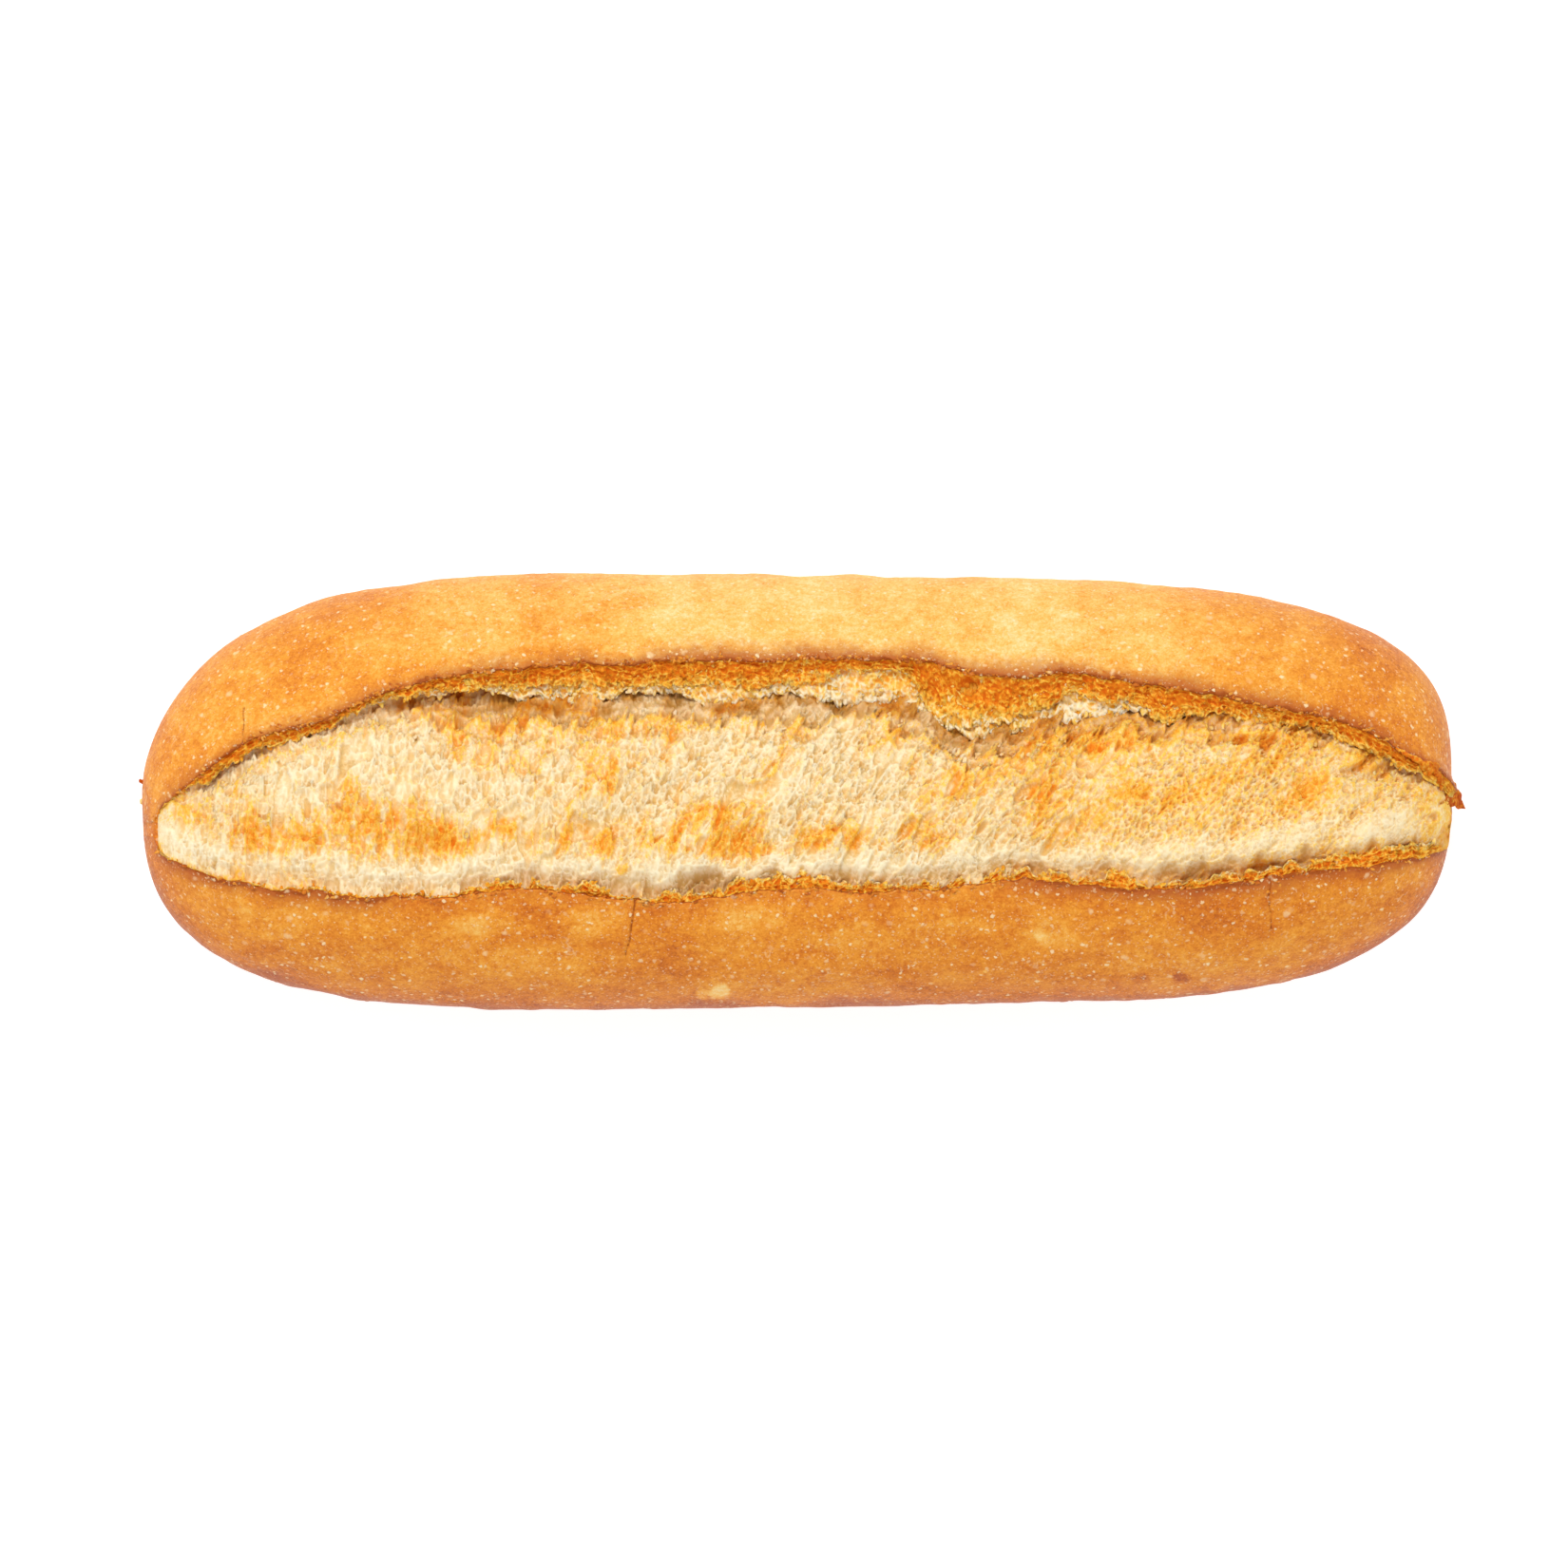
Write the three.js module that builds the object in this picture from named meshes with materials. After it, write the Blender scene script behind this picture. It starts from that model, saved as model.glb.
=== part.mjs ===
// A short baguette with one long slash along its top, torn open by the oven.
// Millimetres. X runs along the loaf, Y across it and Z up; the loaf rests on its flat base at Z 0.
// The crust is a superelliptic body. Between the two lips of the slash the torn crumb is a height
// field: a ragged face under each lip, a crevice, and the bulge of crumb that pushed the lips apart.
import * as THREE from 'three';

// Driving dimensions
const HALF_LENGTH = 118.8;
const CENTRE_X = -1.2; // the torn end of the upper lip reaches past the body, so the body sits a little left
const WIDEST_Z = 22; // height of the widest level above the base
const DOME = 32; // rise of the dome above the widest level
const SINK = 1.15; // how far the rounded underside would reach below the widest level, over WIDEST_Z
const DOME_POWER = 2.2; // superellipse power of the section above the widest level
const UNDERSIDE_POWER = 2.6;

// Half widths of the plan: [width, taper towards +X, power and root of the left end, then of the right]
const FAR_SIDE = { width: 39.2, taper: 0.021, left: [4.7, 1.78], right: [3.7, 3.35] };
const NEAR_SIDE = { width: 39.2, taper: 0.048, left: [4.2, 2.96], right: [5.2, 2.7] };
const PROFILE = { left: [5.0, 2.6], right: [5.0, 2.8] }; // dome and underside, seen from the side

// The two lips of the slash in plan, as [x, y]
const FAR_LIP = [
  [-117.4, -6], [-115.8, -3.5], [-111.6, 0.1], [-100.3, 8.4], [-85, 13.5], [-70.7, 19.4], [-51.9, 21.8],
  [-26.4, 23.3], [8, 23.9], [18.2, 23.8], [30.8, 21], [48.1, 21.3], [65.7, 18.2], [84.3, 15.5],
  [100.3, 11.1], [107.4, 7.3], [114, 3.9], [117.6, -1],
];
const NEAR_LIP = [
  [-117.4, -8], [-116.3, -11], [-112.4, -13.7], [-105.3, -16.1], [-85, -18.5], [-71.2, -19.2],
  [-49.3, -18.2], [-25.5, -20], [2.2, -17.7], [13.7, -18.2], [40.5, -16], [62, -18], [84.3, -15.6],
  [100.3, -14.2], [117.6, -10],
];
const LIP_LIMIT = 0.85; // a lip stays within this share of the half width
const SHUT = 2; // the width at which the slash has no depth
const FULL_OPENING = 30; // from this width on, it has its whole depth

// Relief of the slash
const FAR_EAR = 2.2; // how far the upper lip curls up out of the dome
const NEAR_EAR = 1.2;
const EAR_REACH = 13; // how far back from its lip an ear starts to rise
const EAR_FOOT = 2; // how far down the torn face an ear still shows
const FAR_CREVICE = { depth: 5.6, from_lip: 5.2, width: 2.7 };
const NEAR_CREVICE = { depth: 3.8, from_lip: 2.6, width: 1.7 };
const WANDER = 0.9; // how far a crevice strays from its line
const WANDER_SIZE = 14;
const FLAP = { x: 27, left: 9, right: 24, push: 3.4 }; // a thick toasted flap that hangs from the upper lip
const LUMP = 1.3; // height of the torn lumps of crumb
const FINE_LUMP = 0.65; // and of the lumps half their size that lie on them
const LUMP_SIZE = [8, 11]; // along and across the loaf
const LUMP_START = 1; // distance from a lip at which the lumps begin
const LUMP_FULL = 7; // and at which they have their full height
const LEAN = 0.35; // the tear leans over, in X for each step in Y
const CRUST_WAVE = 0.6; // slow unevenness of the crust
const CRUST_WAVE_SIZE = 34;
const EVEN_BELOW = 0.2 * WIDEST_Z; // the crust is even up to here
const RAGGED = 0.5; // how unevenly the crust tore along the lips
const RAGGED_SIZE = 8;
const TIP = { push: 3, drop: 1.4, from: 112, to: 117, root: 3.5 }; // the upper lip's torn point at the right

// Seeds of the noise
const SEED = { farLip: 1, nearLip: 2, crust: 3, lumps: 4, fine: 5, crevice: 6 };

// Mesh
const EVEN_SHARE = 0.86; // share of the half length over which the rings are evenly spaced
const EVEN_RINGS = 60;
const CAP_RINGS = 10; // at each end, closer and closer towards the pole
const ALONG = EVEN_RINGS + 2 * CAP_RINGS;
const BASE_STEPS = 4;
const SIDE_STEPS = 13;
const CRUMB_STEPS = 24;
const LIP_CROWDING = 0.6; // how much closer the steps are at a lip than on average
const BASE_ANGLE = THREE.MathUtils.degToRad(-56.5); // where the underside meets the flat base
const STRAIGHT_DOWN = -Math.PI / 2;
const LEAST_SECTION = 1e-3;

const { clamp, lerp, smoothstep } = THREE.MathUtils;

// A number from 0 to 1 for each lattice point
function hash(i, j, seed) {
  const wave = Math.sin(i * 127.1 + j * 311.7 + seed * 74.7) * 43758.5453;
  return wave - Math.floor(wave);
}

// Smooth value noise from -1 to 1
function noise(x, y, seed) {
  const i = Math.floor(x);
  const j = Math.floor(y);
  const u = smoothstep(x - i, 0, 1);
  const v = smoothstep(y - j, 0, 1);
  const low = lerp(hash(i, j, seed), hash(i + 1, j, seed), u);
  const high = lerp(hash(i, j + 1, seed), hash(i + 1, j + 1, seed), u);
  return 2 * lerp(low, high, v) - 1;
}

// The y of a lip at x: a cubic through its points
function lipAt(points, x) {
  let k = 0;
  while (k < points.length - 2 && x > points[k + 1][0]) k += 1;
  const slope = (i) => {
    const a = points[Math.max(i - 1, 0)];
    const b = points[Math.min(i + 1, points.length - 1)];
    return (b[1] - a[1]) / (b[0] - a[0]);
  };
  const [x0, y0] = points[k];
  const [x1, y1] = points[k + 1];
  const span = x1 - x0;
  const t = clamp((x - x0) / span, 0, 1);
  const rise = y1 - y0;
  const start = slope(k) * span;
  const end = slope(k + 1) * span;
  return y0 + t * (start + t * (3 * rise - 2 * start - end + t * (start + end - 2 * rise)));
}

// How much of its full size a plan or profile has at station t, from -1 to 1
function shareAt(shape, t) {
  const [power, root] = t < 0 ? shape.left : shape.right;
  return Math.max(1 - Math.abs(t) ** power, LEAST_SECTION) ** (1 / root);
}

function halfWidth(side, t) {
  return side.width * (1 - side.taper * t) * shareAt(side, t);
}

// A section of the loaf across X, with its lips
function sectionAt(t) {
  const x = CENTRE_X + HALF_LENGTH * t;
  const share = shareAt(PROFILE, t);
  const section = {
    x,
    far: halfWidth(FAR_SIDE, t),
    near: halfWidth(NEAR_SIDE, t),
    dome: DOME * share,
    underside: WIDEST_Z * SINK * share,
  };
  const lip = (points, seed) => {
    const y = lipAt(points, x) + RAGGED * noise(x / RAGGED_SIZE, 0, seed);
    return clamp(y, -LIP_LIMIT * section.near, LIP_LIMIT * section.far);
  };
  section.farLip = lip(FAR_LIP, SEED.farLip);
  section.nearLip = lip(NEAR_LIP, SEED.nearLip);
  section.open = smoothstep(section.farLip - section.nearLip, SHUT, FULL_OPENING);
  return section;
}

// The rounded body before the slash, at an angle from the +Y side, counterclockwise seen from +X
function bodyPoint(section, angle) {
  const c = Math.cos(angle);
  const s = Math.sin(angle);
  const power = 2 / (s < 0 ? UNDERSIDE_POWER : DOME_POWER);
  const width = c < 0 ? -section.near : section.far;
  const height = s < 0 ? -section.underside : section.dome;
  return [width * Math.abs(c) ** power, WIDEST_Z + height * Math.abs(s) ** power];
}

function domeAt(section, y) {
  const share = Math.min(Math.abs(y) / (y < 0 ? section.near : section.far), 1);
  return WIDEST_Z + section.dome * (1 - share ** DOME_POWER) ** (1 / DOME_POWER);
}

// The angle of the body's dome at y
function angleAt(section, y) {
  const share = Math.min(Math.abs(y) / (y < 0 ? section.near : section.far), 1);
  const angle = Math.acos(share ** (DOME_POWER / 2));
  return y < 0 ? Math.PI - angle : angle;
}

function earAt(section, y) {
  const far = FAR_EAR * smoothstep(y, section.farLip - EAR_FOOT, section.farLip);
  const near = NEAR_EAR * smoothstep(-y, -section.nearLip - EAR_FOOT, -section.nearLip);
  const back = smoothstep(EAR_REACH - Math.max(y - section.farLip, section.nearLip - y), 0, EAR_REACH);
  return section.open * (far + near) * back;
}

// A point of crust: the body, with the ears and the slow unevenness of the loaf
function crustPoint(section, angle) {
  const [y, z] = bodyPoint(section, angle);
  const wave = CRUST_WAVE * noise(section.x / CRUST_WAVE_SIZE, y / CRUST_WAVE_SIZE, SEED.crust);
  const above = smoothstep(z, EVEN_BELOW, WIDEST_Z);
  const lifted = z + (z > WIDEST_Z ? earAt(section, y) : 0) + wave * above;
  return [section.x + tipAt(section, y, z), y, Math.max(lifted, 0)];
}

// How far the upper lip's torn point stands out past the right end
function tipAt(section, y, z) {
  const out = smoothstep(section.x, TIP.from, TIP.to) * smoothstep(z, WIDEST_Z - TIP.root, WIDEST_Z);
  return TIP.push * out * Math.max(1 - Math.abs(y + TIP.drop - section.farLip) / TIP.root, 0);
}

function dip(distance, crevice, x, reach = 0) {
  const centre = crevice.from_lip + reach + WANDER * noise(x / WANDER_SIZE, crevice.depth, SEED.crevice);
  return crevice.depth * Math.exp(-(((distance - centre) / crevice.width) ** 2));
}

// A point of torn crumb, at a share of the way from the near lip to the far lip
function crumbPoint(section, share) {
  const y = lerp(section.nearLip, section.farLip, share);
  const fromNear = y - section.nearLip;
  const fromFar = section.farLip - y;
  const flapReach = section.x < FLAP.x ? FLAP.left : FLAP.right;
  const flap = FLAP.push * Math.exp(-(((section.x - FLAP.x) / flapReach) ** 2));
  const crevices = dip(fromFar, FAR_CREVICE, section.x, flap) + dip(fromNear, NEAR_CREVICE, section.x);
  const inside = smoothstep(Math.min(fromNear, fromFar), LUMP_START, LUMP_FULL);
  const along = (section.x - LEAN * y) / LUMP_SIZE[0];
  const across = y / LUMP_SIZE[1];
  const lumps = LUMP * noise(along, across, SEED.lumps) + FINE_LUMP * noise(2 * along, 2 * across, SEED.fine);
  const relief = lumps * inside - crevices;
  const z = domeAt(section, y) + earAt(section, y) + section.open * relief;
  return [section.x + tipAt(section, y, z), y, z];
}

// The angles from the middle of the base up to a lip on the +Y side, the last ones close together
function sideAngles(lipAngle) {
  const angles = [];
  for (let i = 0; i < BASE_STEPS; i += 1) angles.push(lerp(STRAIGHT_DOWN, BASE_ANGLE, i / BASE_STEPS));
  for (let i = 0; i <= SIDE_STEPS; i += 1) {
    const share = i / SIDE_STEPS;
    angles.push(lerp(BASE_ANGLE, lipAngle, share * (1 + LIP_CROWDING * (1 - share))));
  }
  return angles;
}

// One closed section, from the middle of the base round the far side, over the slash and back
function ring(t) {
  const section = sectionAt(t);
  const farSide = sideAngles(angleAt(section, section.farLip)).slice(0, -1);
  const nearSide = sideAngles(Math.PI - angleAt(section, section.nearLip)).slice(1);
  const points = farSide.map((angle) => crustPoint(section, angle));
  for (let i = 0; i < CRUMB_STEPS; i += 1) points.push(crumbPoint(section, 1 - i / CRUMB_STEPS));
  for (const angle of nearSide.reverse()) points.push(crustPoint(section, Math.PI - angle));
  return points;
}

// The station of a ring along the loaf, from 1 at the right pole to -1 at the left one
function stationAt(i) {
  if (i > ALONG / 2) return -stationAt(ALONG - i);
  if (i > CAP_RINGS) return EVEN_SHARE * (1 - (2 * (i - CAP_RINGS)) / EVEN_RINGS);
  return EVEN_SHARE + (1 - EVEN_SHARE) * Math.cos((Math.PI * i) / (2 * CAP_RINGS));
}

// A sphere's grid, its poles at the two ends of the loaf, moved onto the rings
function loafGeometry() {
  const around = 2 * (BASE_STEPS + SIDE_STEPS) + CRUMB_STEPS;
  const geometry = new THREE.SphereGeometry(1, around, ALONG);
  const position = geometry.getAttribute('position');
  for (let i = 0; i <= ALONG; i += 1) {
    const pole = i === 0 || i === ALONG;
    const t = stationAt(i);
    const points = pole ? null : ring(t);
    for (let j = 0; j <= around; j += 1) {
      const point = pole ? [CENTRE_X + HALF_LENGTH * t, 0, WIDEST_Z] : points[j % around];
      position.setXYZ(i * (around + 1) + j, ...point);
    }
  }
  geometry.deleteAttribute('normal');
  geometry.deleteAttribute('uv');
  return geometry;
}

const crust = new THREE.MeshStandardMaterial({ color: 0xdf9a45, roughness: 0.62, metalness: 0 });

const loaf = new THREE.Mesh(loafGeometry(), crust);
loaf.name = 'loaf';

const baguette = new THREE.Group();
baguette.add(loaf);

export default baguette;
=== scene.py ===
"""A short baguette with one long torn slash: its crust, the torn layers under its lips and its crumb.

Lengths are in millimetres until a mesh is made. X runs along the loaf, Y across it and Z up.
"""

import bpy
import numpy as np
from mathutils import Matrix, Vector


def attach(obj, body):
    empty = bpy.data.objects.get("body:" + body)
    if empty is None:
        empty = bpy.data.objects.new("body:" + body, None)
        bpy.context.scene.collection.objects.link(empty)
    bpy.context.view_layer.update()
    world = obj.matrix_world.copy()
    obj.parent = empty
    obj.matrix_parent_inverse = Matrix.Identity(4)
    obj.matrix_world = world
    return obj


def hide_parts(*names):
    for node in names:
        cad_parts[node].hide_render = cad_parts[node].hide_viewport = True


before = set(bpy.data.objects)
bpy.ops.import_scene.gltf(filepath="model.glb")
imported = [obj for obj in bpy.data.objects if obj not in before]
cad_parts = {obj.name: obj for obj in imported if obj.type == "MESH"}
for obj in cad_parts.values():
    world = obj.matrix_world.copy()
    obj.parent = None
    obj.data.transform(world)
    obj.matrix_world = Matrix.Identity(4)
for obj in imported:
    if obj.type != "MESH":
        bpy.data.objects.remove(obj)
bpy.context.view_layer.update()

MM = 0.001

# The loaf's body, as its solid has it
HALF_LENGTH = 118.8
CENTRE_X = -1.2
WIDEST_Z = 22.0
DOME = 32.0
SINK = 1.15
DOME_POWER = 2.2
UNDERSIDE_POWER = 2.6
FAR_SIDE = {"width": 39.2, "taper": 0.021, "left": (4.7, 1.78), "right": (3.7, 3.35)}
NEAR_SIDE = {"width": 39.2, "taper": 0.048, "left": (4.2, 2.96), "right": (5.2, 2.7)}
PROFILE = {"left": (5.0, 2.6), "right": (5.0, 2.8)}
FAR_LIP = [
    (-117.4, -6), (-115.8, -3.5), (-111.6, 0.1), (-100.3, 8.4), (-85, 13.5), (-70.7, 19.4), (-51.9, 21.8),
    (-26.4, 23.3), (8, 23.9), (18.2, 23.8), (30.8, 21), (48.1, 21.3), (65.7, 18.2), (84.3, 15.5),
    (100.3, 11.1), (107.4, 7.3), (114, 3.9), (117.6, -1),
]
NEAR_LIP = [
    (-117.4, -8), (-116.3, -11), (-112.4, -13.7), (-105.3, -16.1), (-85, -18.5), (-71.2, -19.2),
    (-49.3, -18.2), (-25.5, -20), (2.2, -17.7), (13.7, -18.2), (40.5, -16), (62, -18), (84.3, -15.6),
    (100.3, -14.2), (117.6, -10),
]
LIP_LIMIT = 0.85
SHUT = 2.0
FULL_OPENING = 30.0
FAR_EAR = 2.2
NEAR_EAR = 1.2
EAR_REACH = 13.0
EAR_FOOT = 2.0
LUMP = 1.3
FINE_LUMP = 0.65
LUMP_SIZE = (8.0, 11.0)
LUMP_START = 1.0
LUMP_FULL = 7.0
LEAN = 0.35
CRUST_WAVE = 0.6
CRUST_WAVE_SIZE = 34.0
EVEN_BELOW = 0.2 * WIDEST_Z
KNOBS = 0.33
OUTLINE = 0.5
RAGGED = 0.5
RAGGED_SIZE = 8.0
TIP = {"push": 1.2, "drop": -0.3, "from": 112.0, "to": 117.0, "root": 2.6}
LEAST_SECTION = 1e-3

# How far the torn layers reach in from their lips, as (x, reach)
TOASTED_REACH = [
    (-117, 0.6), (-112, 0.9), (-107, 2.4), (-100, 2.6), (-88, 2.0), (-72, 2.0), (-60, 3.4), (-30, 4.6),
    (0, 4.6), (9, 2.8), (17, 2.6), (20, 4.6), (23.5, 10.8), (32, 9), (42, 6.4), (50, 4.2), (60, 4.0),
    (66, 7.2), (71, 3.8), (85, 3.0), (100, 3.4), (110, 4.0), (117, 3.4),
]
PALE_REACH = [
    (-117, 0.4), (-75, 1.2), (-62, 2.8), (-50, 5.4), (-41, 7.4), (-30, 5.2), (-14, 8.9), (-5, 6.2),
    (4, 8.0), (14, 9.2), (25, 11.2), (36, 10.6), (46, 8.8), (56, 7.4), (60, 4.8), (66, 5.6), (74, 2.6),
    (117, 1.0),
]
RIM_REACH = [
    (-117, 0.4), (-95, 0.6), (-64, 0.8), (-50, 1.5), (-38, 1.8), (-31, 0.5), (-18, 2.2), (6, 2.4),
    (14, 1.1), (30, 1.8), (43, 2.2), (52, 1.0), (57, 2.8), (61, 1.0), (76, 2.0), (90, 2.4), (99, 3.5),
    (107, 3.6), (114, 3.2), (118, 2.4),
]
# How far in the crumb's torn fringe stands, how deep the gaps are behind it and along the near lip
FRINGE_REACH = [
    (-117, 1.0), (-112, 3.2), (-107, 5.4), (-100, 5.0), (-90, 4.0), (-80, 4.4), (-72, 5.8), (-62, 8.2),
    (-50, 10), (-41, 11.6), (-30, 9.8), (-14, 11.6), (0, 10.8), (12, 11), (20, 13), (26, 14.6), (35, 13),
    (46, 10.8), (58, 8.6), (64, 9.2), (74, 5.4), (90, 4.6), (103, 5.0), (112, 5.2), (117, 3.0),
]
FAR_GAP = [
    (-117, 0.3), (-112, 0.7), (-107, 1.0), (-100, 1.0), (-90, 1.0), (-80, 1.3), (-62, 2.2), (-45, 2.9),
    (58, 2.9), (68, 2.4), (76, 1.5), (95, 1.1), (108, 1.2), (117, 0.6),
]
NEAR_GAP = [
    (-117, 0.4), (-100, 0.9), (-85, 1.3), (-70, 2.0), (-56, 2.4), (-48, 4.4), (-40, 4.8), (-32, 2.6),
    (-26, 3.4), (-18, 5.2), (-10, 3.8), (6, 3.2), (14, 2.2), (30, 3.4), (50, 2.6), (60, 2.2), (75, 3.6),
    (95, 4.4), (106, 3.8), (117, 2.2),
]
# Toasted patches on the crumb, as x, y, half length, half width, strength
PATCHES = [
    (-101, -4.6, 5, 3, 0.4), (-81, -6, 6, 3, 0.35), (-66, -8.5, 7, 3.4, 0.45), (-50, -7, 5, 2.6, 0.2),
    (-33, -7.5, 8, 3, 0.25), (-16, -4.2, 4, 2, 0.4), (-32.5, -14.2, 1.3, 1, 0.6),
    (20.6, -6.5, 4, 2.4, 0.35), (34, 3, 4, 2.5, 0.3), (43.7, 8, 3, 2.6, 0.35), (50, 9, 3, 2, 0.4),
    (58, 9.5, 2.5, 2.2, 0.5), (57, 3.5, 2, 2, 0.3), (44, -3, 3, 3.5, 0.65), (61, -1, 4.5, 1.8, 0.7),
    (52, -4, 5, 3, 0.25), (73, 2.5, 4, 1.6, 0.4), (81, 9.4, 3, 1.3, 0.6), (86, -2, 2, 3, 0.3),
    (92, 1, 2.5, 3, 0.35), (101, 6.5, 2.5, 1.5, 0.4), (112.5, -5, 1.8, 3, 0.4),
]
# The smooth swollen part of the crumb low on the right
PILLOW = {"from": 50.0, "to": 114.0, "fade": 9.0, "rise": 0.7, "middle": 6.2, "width": 3.2}
# A round hollow in the toasted layer, and where the pale layer stays white, as (x, half length)
BUBBLE = {"x": 29.6, "y": 18.9, "radius": 1.9, "depth": 1.5}
BLEACHED = [(9, 10), (50, 9)]
# Marks on the crust, as x, y, half length, half width, how much browner; the four long pale ones below the
# near lip are painted highlights on its bulges
MARKS_AND_HIGHLIGHTS = [
    (-14.8, -36.4, 2.0, 1.7, -0.5), (-18.2, -36.9, 1.3, 1.2, -0.3), (68.2, -33.5, 1.8, 1.0, 0.36),
    (-56, -23.7, 7, 2.6, -0.17), (-39, -23.7, 7, 2.6, -0.17), (-8, -22.4, 7, 2.4, -0.14),
    (9.4, -25.4, 5, 2.2, -0.12), (60.8, -33.9, 2.2, 1.2, 0.2), (42.4, -26.1, 1.4, 1.2, -0.3),
    (-30, 34, 5, 2, 0.12), (-40, 31, 7, 3, 0.1),
]

SEED = {"far_lip": 1, "near_lip": 2, "crust": 3, "lumps": 4, "fine": 5}
FINE_TEAR = 0.28  # how finely the lips are torn
SCATTER = 0.9  # how far a cell's centre strays, as a share of the cell


# ---------------------------------------------------------------- numbers

def smooth(value, low, high):
    share = np.clip((value - low) / (high - low), 0, 1)
    return share * share * (3 - 2 * share)


def mix(low, high, share):
    return low + (high - low) * share


def unit(vectors):
    return vectors / np.linalg.norm(vectors, axis=-1, keepdims=True)


def bell(value):
    """1 at 0, falling off smoothly on both sides."""
    return np.exp(-value ** 2)


def crest(value, width):
    """1 at 0, falling off on both sides of a sharp crest."""
    return np.exp(-np.abs(value) / width)


def chance(i, j, seed):
    """A number from 0 to 1 for each lattice point."""
    wave = np.sin(i * 127.1 + j * 311.7 + seed * 74.7) * 43758.5453
    return wave - np.floor(wave)


def noise(x, y, seed):
    """Smooth value noise from -1 to 1."""
    i, j = np.floor(x), np.floor(y)
    u, v = smooth(x - i, 0, 1), smooth(y - j, 0, 1)
    low = mix(chance(i, j, seed), chance(i + 1, j, seed), u)
    high = mix(chance(i, j + 1, seed), chance(i + 1, j + 1, seed), u)
    return 2 * mix(low, high, v) - 1


def rough(x, y, seed, octaves=3):
    """Noise with finer noise on it, from about -1 to 1."""
    total, weight = 0, 0
    for k in range(octaves):
        total = total + noise(x * 2 ** k + 17.3 * k, y * 2 ** k, seed + k) / 2 ** k
        weight += 1 / 2 ** k
    return total / weight


def cells(x, y, seed):
    """Scattered cells: the distance to the nearest centre, how much farther the next one is, the nearest
    one's own number from 0 to 1, and how far across from its centre the point lies."""
    shape = np.broadcast(x, y).shape
    first, second = np.full(shape, 9.0), np.full(shape, 9.0)
    pick, across = np.zeros(shape), np.zeros(shape)
    i0, j0 = np.floor(x), np.floor(y)
    for di in (-1, 0, 1):
        for dj in (-1, 0, 1):
            i, j = i0 + di, j0 + dj
            cx = i + 0.5 + SCATTER * (chance(i, j, seed) - 0.5)
            cy = j + 0.5 + SCATTER * (chance(i, j, seed + 1) - 0.5)
            distance = np.hypot(x - cx, y - cy)
            nearer = distance < first
            second = np.where(nearer, first, np.minimum(second, distance))
            pick = np.where(nearer, chance(i, j, seed + 2), pick)
            across = np.where(nearer, y - cy, across)
            first = np.minimum(first, distance)
    return first, second - first, pick, across


def through(points, x):
    """A smooth curve through points, read at x."""
    px, py = np.array(points, float).T
    slope = np.empty(len(px))
    slope[1:-1] = (py[2:] - py[:-2]) / (px[2:] - px[:-2])
    slope[0] = (py[1] - py[0]) / (px[1] - px[0])
    slope[-1] = (py[-1] - py[-2]) / (px[-1] - px[-2])
    k = np.clip(np.searchsorted(px, x) - 1, 0, len(px) - 2)
    span, rise = px[k + 1] - px[k], py[k + 1] - py[k]
    t = np.clip((x - px[k]) / span, 0, 1)
    start, end = slope[k] * span, slope[k + 1] * span
    return py[k] + t * (start + t * (3 * rise - 2 * start - end + t * (start + end - 2 * rise)))


# ---------------------------------------------------------------- the loaf's form

def share_at(shape, t):
    power = np.where(t < 0, shape["left"][0], shape["right"][0])
    root = np.where(t < 0, shape["left"][1], shape["right"][1])
    return np.maximum(1 - np.abs(t) ** power, LEAST_SECTION) ** (1 / root)


def half_width(side, t):
    return side["width"] * (1 - side["taper"] * t) * share_at(side, t)


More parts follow.
